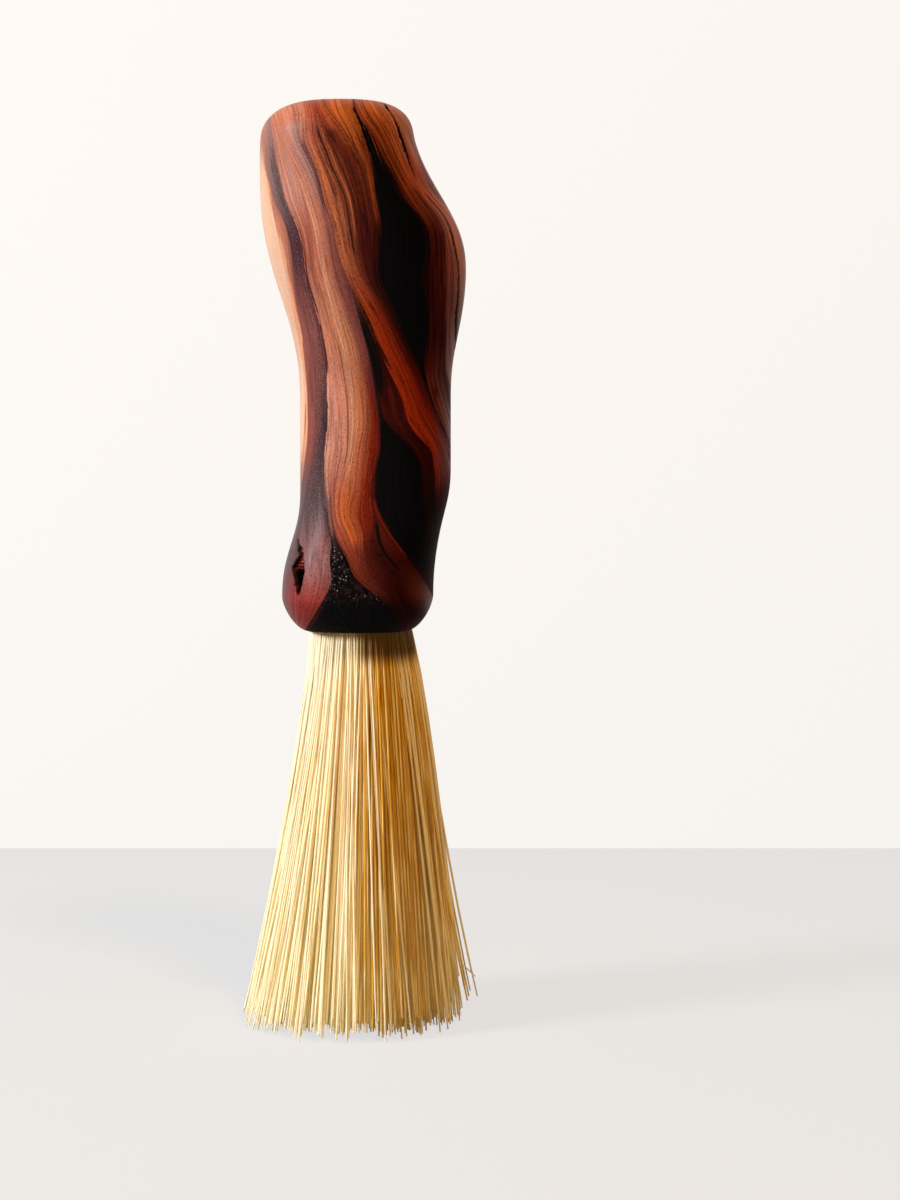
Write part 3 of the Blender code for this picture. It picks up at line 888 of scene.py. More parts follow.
    def wrap(self, mesh: bpy.types.Mesh, rows: list[Row], angles: np.ndarray) -> None:
        """Lay a flat grid round the handle and write the figure's attributes on it.

        Args:
            mesh: A grid from -0.5 to 0.5 both ways, one column for each angle.
            rows: The rings, from the grid's top row down.
            angles: The columns' angles.
        """
        flat = np.empty(len(mesh.vertices) * 3)
        mesh.vertices.foreach_get("co", flat)
        place = self.survey(flat.reshape(-1, 3), rows, angles)
        turn, outside = place["turn"], place["outside"]
        around = np.column_stack([polar(1.0, turn), np.zeros(len(turn))])
        one_side = self.oval(place["height"], np.zeros(len(turn)))
        other_side = self.oval(place["height"], np.full(len(turn), math.pi))
        circle = place["circle"][:, None]
        middle = np.zeros_like(outside)
        middle[:, 0] = (one_side[:, 0] + other_side[:, 0]) / 2
        point = outside * (1 - circle) + around * place["radius"][:, None] * circle
        middle = middle * (1 - circle)
        point = middle + (point - middle) * place["shrink"][:, None]
        depth = self.depth(place)
        point -= around * depth[:, None]
        point[:, 2] = place["z"]
        mesh.vertices.foreach_set("co", point.astype(np.float32).ravel())
        grain, slope = self.figure.grain(place["column"], place["row"], place["girth"])
        sums = self.figure.widths()
        along = np.interp(np.mod(grain, self.figure.count), np.arange(len(sums)), sums)
        fibre = polar(sums[-1] * self.pixel / (2 * math.pi), 2 * math.pi * along / sums[-1])
        share = place["height"] / self.length
        end = np.maximum(1 - place["shrink"], place["circle"])
        end = np.maximum(end, smooth_step(*self.crown_end, share))
        end = np.maximum(end, 1 - smooth_step(*self.foot_end, share))
        corners = np.empty(len(mesh.loops), int)
        mesh.loops.foreach_get("vertex_index", corners)
        write(mesh, "grain", grain[corners], "CORNER")
        write(mesh, "grain_slope", slope)
        write(mesh, "fibre", np.column_stack([fibre, outside[:, 2]]))
        write(mesh, "end_grain", end)
        write(mesh, "hollow", depth / self.void.depth)


def write(mesh: bpy.types.Mesh, name: str, values: np.ndarray, domain: str = "POINT") -> None:
    """Store values on a mesh as a named attribute.

    Args:
        mesh: The mesh.
        name: The attribute's name.
        values: A number or a point for each of the mesh's elements.
        domain: Which elements they are.
    """
    kind, key = ("FLOAT_VECTOR", "vector") if values.ndim > 1 else ("FLOAT", "value")
    attribute = mesh.attributes.new(name, kind, domain)
    attribute.data.foreach_set(key, values.astype(np.float32).ravel())


def add_piece(name: str, mesh: bpy.types.Mesh, nodes: list[str]) -> bpy.types.Object:
    """Add a finished mesh to the brush.

    Args:
        name: Name of the piece.
        mesh: Its mesh, in place.
        nodes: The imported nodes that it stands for.

    Returns:
        The piece's object.
    """
    piece = bpy.data.objects.new(name, mesh)
    bpy.context.scene.collection.objects.link(piece)
    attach(piece, BODY)
    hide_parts(*nodes)
    LOG.info("%s: %d faces, stands for %s", name, len(mesh.polygons), ", ".join(nodes))
    return piece


class Shader:
    """A material's or group's node tree, with short ways to add and join nodes.

    An input is a socket, a value, a tone or the sRGB code of a colour.
    """

    def __init__(self, tree: bpy.types.NodeTree) -> None:
        """Work on a tree."""
        self.tree = tree

    def add(self, kind: str, inputs: Inputs | None = None, **settings: object) -> bpy.types.Node:
        """Add a node.

        Args:
            kind: The node's type name without "ShaderNode".
            inputs: What its inputs get, by name or number.
            settings: Its other properties.

        Returns:
            The node.
        """
        node = self.tree.nodes.new("ShaderNode" + kind)
        for name, value in settings.items():
            setattr(node, name, value)
        return self.fill(node, inputs or {})

    def fill(self, node: bpy.types.Node, inputs: Inputs) -> bpy.types.Node:
        """Join or set inputs of a node.

        Args:
            node: The node.
            inputs: What its inputs get, by name or number.

        Returns:
            The node.
        """
        for name, value in inputs.items():
            if isinstance(value, Socket):
                self.tree.links.new(value, node.inputs[name])
                continue
            code = value.value if isinstance(value, Tone) else value
            node.inputs[name].default_value = (*linear(code), 1.0) if isinstance(code, str) else code
        return node

    def math(self, operation: str, first: Input, second: Input = 0.0, third: Input = 0.0) -> Socket:
        """Result of a Math node."""
        return self.add("Math", {0: first, 1: second, 2: third}, operation=operation).outputs[0]

    def times(self, *values: Input) -> Socket:
        """Product of some values."""
        return functools.reduce(functools.partial(self.math, "MULTIPLY"), values)

    def swing(self, value: Input, reach: float, base: Input = 0.0) -> Socket:
        """How far a value is from a half, times a reach, on top of a base."""
        return self.math("MULTIPLY_ADD", self.math("SUBTRACT", value, 0.5), reach, base)

    def scaled(self, vector: Input, factors: Input) -> Socket:
        """A vector with each of its numbers multiplied."""
        return self.add("VectorMath", {0: vector, 1: factors}, operation="MULTIPLY").outputs[0]

    def mix(self, factor: Input, first: Input, second: Input, blend: str = "MIX") -> Socket:
        """Colour between two, or blended another way, by a factor."""
        node = self.add("Mix", {0: factor}, data_type="RGBA", blend_type=blend)
        return self.fill(node, {6: first, 7: second}).outputs[2]

    def tint(self, colour: Input, by: Input) -> Socket:
        """A colour multiplied by another."""
        return self.mix(1.0, colour, by, "MULTIPLY")

    def range(self, value: Input, span: Span, to: Span = (0.0, 1.0)) -> Socket:
        """A value taken smoothly from one span to another, and held at its ends."""
        inputs = {"Value": value, "From Min": span[0], "From Max": span[1], "To Min": to[0], "To Max": to[1]}
        return self.add("MapRange", inputs, interpolation_type="SMOOTHSTEP").outputs[0]

    def between(self, value: Input, opening: Span, closing: Span) -> Socket:
        """A mask that opens over one span of a value and closes over another."""
        return self.times(self.range(value, opening), self.range(value, closing, (1.0, 0.0)))

    def noise(self, vector: Input, size: float, detail: float = 2.0) -> Socket:
        """Noise with features of a size in metres."""
        return self.add("TexNoise", {"Vector": vector, "Scale": 1 / size, "Detail": detail}).outputs["Fac"]

    def grey(self, value: Input) -> Socket:
        """A value as a grey colour."""
        return self.add("CombineColor", {0: value, 1: value, 2: value}).outputs[0]

    def attribute(self, name: str, output: str = "Fac") -> Socket:
        """An attribute of the mesh."""
        return self.add("Attribute", attribute_name=name).outputs[output]

    def place(self) -> Socket:
        """Object coordinates."""
        return self.add("TexCoord").outputs["Object"]

    def bump(self, height: Input, strength: float, distance: float, **under: Socket) -> Socket:
        """A normal that follows a height, on top of another one if Normal is given."""
        inputs = {"Height": height, "Strength": strength, "Distance": distance, **under}
        return self.add("Bump", inputs).outputs[0]

    def ramp(self, factor: Input, stops: list[tuple[float, Colour]]) -> Socket:
        """Colour of a ramp with straight runs between its stops.

        Args:
            factor: Where the ramp is read.
            stops: (place from 0 to 1, colour) pairs in rising order.

        Returns:
            The colour.
        """
        node = self.add("ValToRGB", {0: factor})
        elements = node.color_ramp.elements
        while len(elements) < len(stops):
            elements.new(0.5)
        for element, (place, _) in zip(elements, stops):
            element.position = place
        for element, (_, colour) in zip(elements, stops):
            element.color = (*colour, 1.0)
        return node.outputs[0]


def new_material(name: str) -> tuple[bpy.types.Material, Shader, bpy.types.Node]:
    """Start a material.

    Args:
        name: Its name.

    Returns:
        The material, its tree and its Principled node.
    """
    material = bpy.data.materials.new(name)
    material.use_nodes = True
    return material, Shader(material.node_tree), material.node_tree.nodes["Principled BSDF"]


@dataclass
class Effects:
    """Node groups that several materials share."""

    fineness: tuple[float, ...] = (0.2, 1.0, 2.3, 0.62)
    streak_edge: Span = (0.40, 0.60)
    line_edge: Span = (0.0, 0.045)
    line_phase: float = 3.7
    dot_edge: Span = (0.12, 0.36)

    def __post_init__(self) -> None:
        """Build the groups."""
        self.streak_group = self.make_streaks()
        self.speck_group = self.make_specks()

    @staticmethod
    def new_group(
        name: str, inputs: dict[str, float], outputs: tuple[str, ...]
    ) -> tuple[Shader, bpy.types.Node, bpy.types.Node]:
        """A node group with a vector input, some value inputs and value outputs.

        Args:
            name: The group's name.
            inputs: Names of the value inputs, with their usual values.
            outputs: Names of the outputs.

        Returns:
            The group's tree, its input node and its output node.
        """
        tree = bpy.data.node_groups.new(name, "ShaderNodeTree")
        tree.interface.new_socket("Vector", in_out="INPUT", socket_type="NodeSocketVector")
        for key, value in inputs.items():
            socket = tree.interface.new_socket(key, in_out="INPUT", socket_type="NodeSocketFloat")
            socket.default_value = value
        for key in outputs:
            tree.interface.new_socket(key, in_out="OUTPUT", socket_type="NodeSocketFloat")
        return Shader(tree), tree.nodes.new("NodeGroupInput"), tree.nodes.new("NodeGroupOutput")

    def make_streaks(self) -> bpy.types.NodeTree:
        """Grain that runs along Z: broad drifts, streaks of a width, and thin dark lines.

        Returns:
            The group.
        """
        names = ("Drift", "Streak", "Fine", "Lines")
        shader, given, result = self.new_group("streaks", {"Width": 0.0011, "Along": 0.05}, names)
        stretch = shader.add("CombineXYZ", {"X": 1.0, "Y": 1.0, "Z": given.outputs["Along"]}).outputs[0]
        vector = shader.scaled(given.outputs["Vector"], stretch)
        scale = shader.math("DIVIDE", 1.0, given.outputs["Width"])
        scales = {name: shader.times(scale, share) for name, share in zip(names, self.fineness)}
        made = {}
        for name in names[:3]:
            inputs = {"Vector": vector, "Scale": scales[name], "Detail": 1.5}
            made[name] = shader.add("TexNoise", inputs).outputs["Fac"]
        for name in names[1:3]:
            made[name] = shader.range(made[name], self.streak_edge)
        inputs = {"Vector": vector, "W": self.line_phase, "Scale": scales["Lines"], "Detail": 1.0}
        noise = shader.add("TexNoise", inputs, noise_dimensions="4D").outputs["Fac"]
        off = shader.math("ABSOLUTE", shader.math("SUBTRACT", noise, 0.5))
        made["Lines"] = shader.range(off, self.line_edge, (1.0, 0.0))
        shader.fill(result, made)
        return shader.tree

    def make_specks(self) -> bpy.types.NodeTree:
        """Small dots of a size, and the grainy unevenness between them.

        Returns:
            The group.
        """
        shader, given, result = self.new_group("specks", {"Size": 0.0003, "Share": 0.3}, ("Dots", "Grit"))
        vector, size, share = (given.outputs[name] for name in ("Vector", "Size", "Share"))
        scale = shader.math("DIVIDE", 1.0, size)
        cells = shader.add("TexVoronoi", {"Vector": vector, "Scale": scale}).outputs
        chance = shader.add("SeparateColor", {0: cells["Color"]}).outputs[0]
        dot = shader.range(cells["Distance"], self.dot_edge, (1.0, 0.0))
        grit = shader.add("TexNoise", {"Vector": vector, "Scale": scale, "Detail": 2.0}).outputs["Fac"]
        dots = shader.times(dot, shader.math("LESS_THAN", chance, share))
        shader.fill(result, {"Dots": dots, "Grit": grit})
        return shader.tree

    def streaks(self, shader: Shader, vector: Socket, width: float, along: float) -> bpy.types.NodeOutputs:
        """Place the streaks in a material, with their width and how much Z counts for."""
        inputs = {"Vector": vector, "Width": width, "Along": along}
        return shader.add("Group", inputs, node_tree=self.streak_group).outputs

    def specks(self, shader: Shader, vector: Socket, size: float, share: float) -> bpy.types.NodeOutputs:
        """Place the specks in a material, with their size and the share of cells that have one."""
        inputs = {"Vector": vector, "Size": size, "Share": share}
        return shader.add("Group", inputs, node_tree=self.speck_group).outputs


class Wood(Shader):
    """The burl's node tree, with what its layers read: places, the figure and the streaks."""

    def __init__(self, tree: bpy.types.NodeTree, finish: "BurlFinish") -> None:
        """Read the attributes and shift the grain by the streaks.

        Args:
            tree: The tree.
            finish: The finish that says how far streaks reach.
        """
        super().__init__(tree)
        self.effects = finish.effects
        self.point = self.place()
        self.height = self.add("SeparateXYZ", {0: self.point}).outputs["Z"]
        self.fibre = self.attribute("fibre", "Vector")
        self.end = self.attribute("end_grain")
        self.hollow = self.attribute("hollow")
        grain = self.attribute("grain")
        self.slope = self.math("MINIMUM", self.attribute("grain_slope"), finish.steepest)
        self.streaks = self.effects.streaks(self, self.fibre, *finish.streak_width_along)
        shift = 0.0
        for name, reach in finish.reaches:
            shift = self.swing(self.streaks[name], reach, shift)
        moved = self.math("MULTIPLY_ADD", shift, self.slope, grain)
        count = float(finish.figure.count)
        self.turned = self.math("FLOORED_MODULO", moved, count)
        self.still = self.math("FLOORED_MODULO", grain, count)
        self.grit = self.specks(finish.grit_specks)["Grit"]

    def specks(self, size_and_share: Span) -> bpy.types.NodeOutputs:
        """Specks of a size, in a share of all places."""
        return self.effects.specks(self, self.point, *size_and_share)

    def rows(self, span: Span, to: Span = (0.0, 1.0)) -> Socket:
        """A value taken smoothly from one row of the photograph to another."""
        return self.range(self.height, CAMERA.heights(*span), to)


@dataclass(frozen=True)
class BurlFinish:
    """Oiled and waxed burl, coloured by the figure that its mesh carries.

    Reaches and widths of lines are in pixels, spans of lines in numbers of the figure's
    lines, rows in the photograph's rows and sizes in metres. Specks have a size and the
    share of places that have one, bumps a strength and a height.
    """

    figure: Figure
    effects: Effects
    line_softness: float = 0.05
    ramp_break: int = 10
    steepest: float = 0.3
    reaches: tuple[tuple[str, float], ...] = (("Drift", 9.0), ("Streak", 3.4), ("Fine", 1.8))
    streak_width_along: Span = (0.00062, 0.03)
    thread_core: float = 0.5
    thread_edge: float = 1.3
    thread_breaks: Span = (0.30, 0.42)
    thread_starts: float = 0.002
    thread_stops: float = 0.003
    back_busy: float = 0.8
    streak_shade: float = 0.34
    fine_shade: float = 0.34
    grit_shade: float = 1.4
    calm_grit: float = 0.35
    busy_grit: float = 0.7
    grit_specks: Span = (0.00036, 0.12)
    pore_specks: Span = (0.00030, 0.45)
    pore_length: float = 0.22
    pore_shade: float = 0.63
    busiest_pores: float = 0.8
    least_shade: float = 0.1
    line_shade: float = 0.6
    stripe_opens: Span = (3.2, 4.0)
    stripe_closes: Span = (4.9, 5.0)
    soot: float = 0.7
    soot_specks: Span = (0.00055, 0.6)
    dust: float = 0.45
    dust_specks: Span = (0.00034, 0.5)
    dust_rows: Span = (545.0, 520.0)
    ring_centre: tuple[float, ...] = (-0.034, -0.012, 0.0)
    ring_width: float = 0.0042
    ring_wave: float = 0.012
    ring_warp: float = 0.012
    ring_grain: float = 0.0004
    ring_shade: Span = (0.8, 0.6)
    torn_row: float = 566.0
    ledge_below: float = 0.002
    ledge_above: float = 0.001
    chip_specks: Span = (0.0009, 0.5)
    rim_span: Span = (0.04, 0.12)
    painted_rim_shade: float = 0.85
    torn_span: Span = (0.22, 0.36)
    bark_opens: Span = (4.95, 5.1)
    bark_closes: Span = (5.8, 6.0)
    bark_rows: Span = (530.0, 550.0)
    bare_rows: Span = (608.0, 590.0)
    bark_dust: float = 0.4
    dust_size: float = 0.0012
    dust_span: Span = (0.42, 0.62)
    painted_glint_specks: Span = (0.00055, 0.5)
    painted_glint_patch: float = 0.0035
    painted_glint_span: Span = (0.44, 0.54)
    char_specks: Span = (0.0007, 0.7)
    grit_relief: float = 0.5
    grain_bump: Span = (0.35, 0.0001)
    bark_bump: Span = (0.8, 0.0006)
    grit_span: Span = (0.3, 0.7)
    roughness: Span = (0.38, 0.54)
    dull_until: Span = (0.002, 0.05)
    dullness: Span = (0.80, 0.30)
    bare_until: Span = (0.004, 0.06)
    specular: float = 0.07
    coat_weight: float = 0.04
    coat_roughness: float = 0.30

    def stops(self, station: int, first: int, last: int) -> list[tuple[float, Colour]]:
        """Ramp stops of a run of bands at a station.

        Args:
            station: Number of the station.
            first: First band of the run.
            last: The band after the run.

        Returns:
            (place from 0 to 1, colour) pairs in rising order.
        """
        crisp, span = self.figure.crisp, last - first

        def colour(band: int) -> Colour:
            """Colour of a band at the station."""
            return linear(self.figure.tones(band)[station].value)

        def between(band: int) -> Colour:
            """Colour half way between a band and the one before."""
            return tuple((a + b) / 2 for a, b in zip(colour(band - 1), colour(band)))

        stops = [(0.0, between(first))]
        for band in range(first, last):
            if crisp(band) and band > first:
                stops.append(((band - first - self.line_softness) / span, colour(band - 1)))
                stops.append(((band - first + self.line_softness) / span, colour(band)))
            if not (crisp(band) and crisp(band + 1)):
                stops.append(((band - first + 0.5) / span, colour(band)))
        return [*stops, (1.0, between(last))]

    def figure_colour(self, wood: Wood) -> Socket:
        """Colours of the bands, from station to station.

        Args:
            wood: The burl's tree.

        Returns:
            The colour.
        """
        ends = (0, self.ramp_break, self.figure.front_count, self.figure.count)
        runs = []
        for first, last in zip(ends, ends[1:]):
            past = wood.math("SUBTRACT", wood.turned, float(first))
            share = wood.math("DIVIDE", past, float(last - first))
            runs.append((first, last, share, wood.math("GREATER_THAN", wood.turned, float(first))))
        colour = None
        for station, row in enumerate(STATION_ROWS):
            here = None
            for first, last, share, reached in runs:
                run = wood.ramp(share, self.stops(station, first, last))
                here = run if here is None else wood.mix(reached, here, run)
            if colour is not None:
                here = wood.mix(wood.rows((STATION_ROWS[station - 1], row)), colour, here)
            colour = here
        return colour

    def threads(self, wood: Wood, colour: Socket) -> Socket:
        """Draw the thin lines over the bands.

        Args:
            wood: The burl's tree.
            colour: The bands' colour.

        Returns:
            The new colour.
        """
        breaks = wood.range(wood.streaks["Drift"], self.thread_breaks)
        for thread in THREADS:
            off = wood.math("ABSOLUTE", wood.math("SUBTRACT", wood.still, thread.line))
            edge = (thread.half_width * self.thread_core, thread.half_width * self.thread_edge)
            mask = wood.range(wood.math("DIVIDE", off, wood.slope), edge, (thread.strength, 0.0))
            top, foot = CAMERA.heights(thread.top, thread.foot)
            below = wood.range(wood.height, (top, top - self.thread_starts))
            above = wood.range(wood.height, (foot, foot + self.thread_stops))
            colour = wood.mix(wood.times(mask, below, above, breaks), colour, thread.tone)
        return colour

    def busy(self, wood: Wood) -> Socket:
        """How strong the fine growth lines are.

        Args:
            wood: The burl's tree.

        Returns:
            Shares of their full strength.
        """
        count = self.figure.count
        shares = [line.busy for line in self.figure.lines] + [self.back_busy] * len(self.figure.back_tones)
        stops = [((band + 0.5) / count, (share, share, share)) for band, share in enumerate(shares)]
        return wood.ramp(wood.math("DIVIDE", wood.turned, float(count)), stops)

    def growth(self, wood: Wood, colour: Socket) -> Socket:
        """Shade the colour with streaks, grit, open pores and fine dark lines.

        Args:
            wood: The burl's tree.
            colour: The colour so far.

        Returns:
            The new colour.
        """
        busy = self.busy(wood)
        shade = wood.swing(wood.streaks["Fine"], self.fine_shade)
        shade = wood.swing(wood.streaks["Streak"], self.streak_shade, shade)
        shade = wood.math("MULTIPLY_ADD", shade, busy, 1.0)
        share = wood.math("MULTIPLY_ADD", busy, self.busy_grit, self.calm_grit)
        gritty = wood.times(wood.swing(wood.grit, self.grit_shade), share)
        vector = wood.scaled(wood.fibre, (1.0, 1.0, self.pore_length))
        pores = self.effects.specks(wood, vector, *self.pore_specks)
        pores = wood.times(pores["Dots"], wood.math("MINIMUM", busy, self.busiest_pores))
        gritty = wood.math("MULTIPLY_ADD", pores, -self.pore_shade, gritty)
        shade = wood.math("MAXIMUM", wood.math("ADD", shade, gritty), self.least_shade)
        colour = wood.tint(colour, wood.grey(shade))
        lines = wood.times(wood.streaks["Lines"], self.line_shade, busy)
        return wood.mix(lines, colour, wood.tint(colour, Tone.BROWN))

    def stripe(self, wood: Wood, colour: Socket) -> Socket:
        """Strew soot over the dark stripe, and dust where it nears the bark void.

        Args:
            wood: The burl's tree.
            colour: The colour so far.

        Returns:
            The new colour.
        """
        stripe = wood.between(wood.still, self.stripe_opens, self.stripe_closes)
        soot = wood.specks(self.soot_specks)["Dots"]
        colour = wood.mix(wood.times(stripe, soot, self.soot), colour, Tone.UMBER)
        dust = wood.specks(self.dust_specks)["Dots"]
        dusted = wood.rows(self.dust_rows, (0.0, self.dust))
        return wood.mix(wood.times(stripe, dusted, dust), colour, Tone.GREY_SPECK_AND_PAINTED_GLINT)

    def rings(self, wood: Wood, colour: Socket) -> Socket:
        """Show growth rings where the fibres are cut across.

        Args:
            wood: The burl's tree.
            colour: The colour so far.

        Returns:
            The new colour.
        """
        centred = wood.add("VectorMath", {0: wood.point, 1: self.ring_centre}, operation="ADD").outputs[0]
        flat = wood.scaled(centred, (1.0, 1.0, 0.0))
        radius = wood.add("VectorMath", {0: flat}, operation="LENGTH").outputs["Value"]
        radius = wood.math("MULTIPLY_ADD", wood.noise(wood.point, self.ring_wave), self.ring_warp, radius)
        wave = wood.math("FRACT", wood.math("DIVIDE", radius, self.ring_width))
        tones = (T.OXBLOOD, T.RUST, T.CLAY, T.ORANGE, T.BROWN, T.WINE, T.OXBLOOD)
        stops = [(index / (len(tones) - 1), linear(tone.value)) for index, tone in enumerate(tones)]
        fine = wood.math("MULTIPLY_ADD", wood.noise(wood.point, self.ring_grain), *self.ring_shade)
        return wood.mix(wood.end, colour, wood.tint(wood.ramp(wave, stops), wood.grey(fine)))

    def hollow_shade_and_chips(self, wood: Wood, colour: Socket) -> Socket:
        """Paint shade on the rim of the void and in the cracks, and show torn wood inside the void, with
        painted black shade in its deep lower part.

        Args:
            wood: The burl's tree.
            colour: The colour so far.

        Returns:
            The new colour.
        """
        ledge = CAMERA.height_of(self.torn_row)
        chips = wood.specks(self.chip_specks)["Dots"]
        above = wood.range(wood.height, (ledge - self.ledge_below, ledge + self.ledge_above))
        # Painted shade: below the ledge, where the void lies deepest, it is painted black; above it lie chips
        # of torn wood.
        inside = wood.mix(above, Tone.CHAR, wood.mix(chips, Tone.CINNABAR, Tone.CREAM))
        # Painted shade on the rim of the void and in the cracks.
        colour = wood.mix(wood.range(wood.hollow, self.rim_span, (0.0, self.painted_rim_shade)), colour, Tone.UMBER)
        return wood.mix(wood.range(wood.hollow, self.torn_span), colour, inside)

    def gloss(self, wood: Wood, colour: Socket) -> Inputs:
        """Wax on the bright wood, and dull char.

        Args:
            wood: The burl's tree.
            colour: The wood's colour.

        Returns:
            Inputs for the Principled node, by name.
        """
        bright = wood.add("RGBToBW", {0: colour}).outputs[0]
        rough = wood.range(wood.grit, self.grit_span, self.roughness)
        dull = wood.range(bright, self.dull_until, self.dullness)
        return {
            "Roughness": wood.math("MAXIMUM", rough, dull),
            "Specular IOR Level": self.specular,
            "Coat Weight": wood.range(bright, self.bare_until, (0.0, self.coat_weight)),
            "Coat Roughness": self.coat_roughness,
        }

    def bark(self, wood: Wood, colour: Socket) -> Inputs:
        """Lay dust and painted glints, which stand in for highlights, on the rough bark, and give it its
        relief.

        Args:
            wood: The burl's tree.
            colour: The colour so far.

        Returns:
            Inputs for the Principled node, by name.
        """
        wedge = wood.between(wood.still, self.bark_opens, self.bark_closes)
        rugged = wood.times(wedge, wood.rows(self.bark_rows))
        bare = wood.times(rugged, wood.rows(self.bare_rows))
        dusty = wood.range(wood.noise(wood.point, self.dust_size), self.dust_span, (0.0, self.bark_dust))
        colour = wood.mix(wood.times(bare, dusty), colour, Tone.STONE)
        # Painted glints: sparse pale grey dots on the bare bark stand in for highlights off its rough
        # surface.
        patchy = wood.range(wood.noise(wood.point, self.painted_glint_patch), self.painted_glint_span)
        painted_glints = wood.specks(self.painted_glint_specks)["Dots"]
        char = wood.specks(self.char_specks)
        relief = wood.math("MULTIPLY_ADD", wood.grit, self.grit_relief, wood.streaks["Fine"])
        crust = wood.times(rugged, wood.math("ADD", char["Dots"], char["Grit"]))
        return {
            "Base Color": wood.mix(wood.times(painted_glints, patchy, bare), colour, Tone.GREY_SPECK_AND_PAINTED_GLINT),
            "Normal": wood.bump(crust, *self.bark_bump, Normal=wood.bump(relief, *self.grain_bump)),
        }

    def make(self) -> bpy.types.Material:
        """Build the material.

        Returns:
            The material.
        """
        material, shader, surface = new_material("burl")
        wood = Wood(shader.tree, self)
        colour = self.figure_colour(wood)
        for layer in (self.threads, self.growth, self.stripe, self.rings, self.hollow_shade_and_chips):
            colour = layer(wood, colour)
        wood.fill(surface, self.gloss(wood, colour) | self.bark(wood, colour))
        return material


@dataclass(frozen=True)
class Stray:
    """A strand that stands off: bearing, extra reach, height of its tip and a kink near it."""

    bearing: float
    reach: float
    tip: float
    kink: float = 0.0


STRAYS = tuple(Stray(*values) for values in (
    (-6, 0.0053, 0.0052), (4, 0.0048, 0.0062), (-12, 0.0045, 0.0058), (12, 0.0042, 0.0050),
    (-2, 0.0037, 0.0056), (8, 0.0032, 0.0064), (-18, 0.0034, 0.0046), (18, 0.0024, 0.0048),
    (-21, 0.0028, 0.0074), (15, 0.0038, 0.0088), (-9, 0.0012, 0.0100, 0.0036), (1, 0.0010, 0.0055),
    (-25, 0.0012, 0.0034), (172, 0.0006, 0.0095), (183, 0.0005, 0.0020), (190, 0.0003, 0.0008),
    (178, 0.0004, 0.0070), (196, 0.0005, 0.0034), (204, 0.0004, 0.0024), (-60, 0.0002, 0.0006),
    (-78, 0.0001, 0.0003), (-112, 0.0001, 0.0001),
))


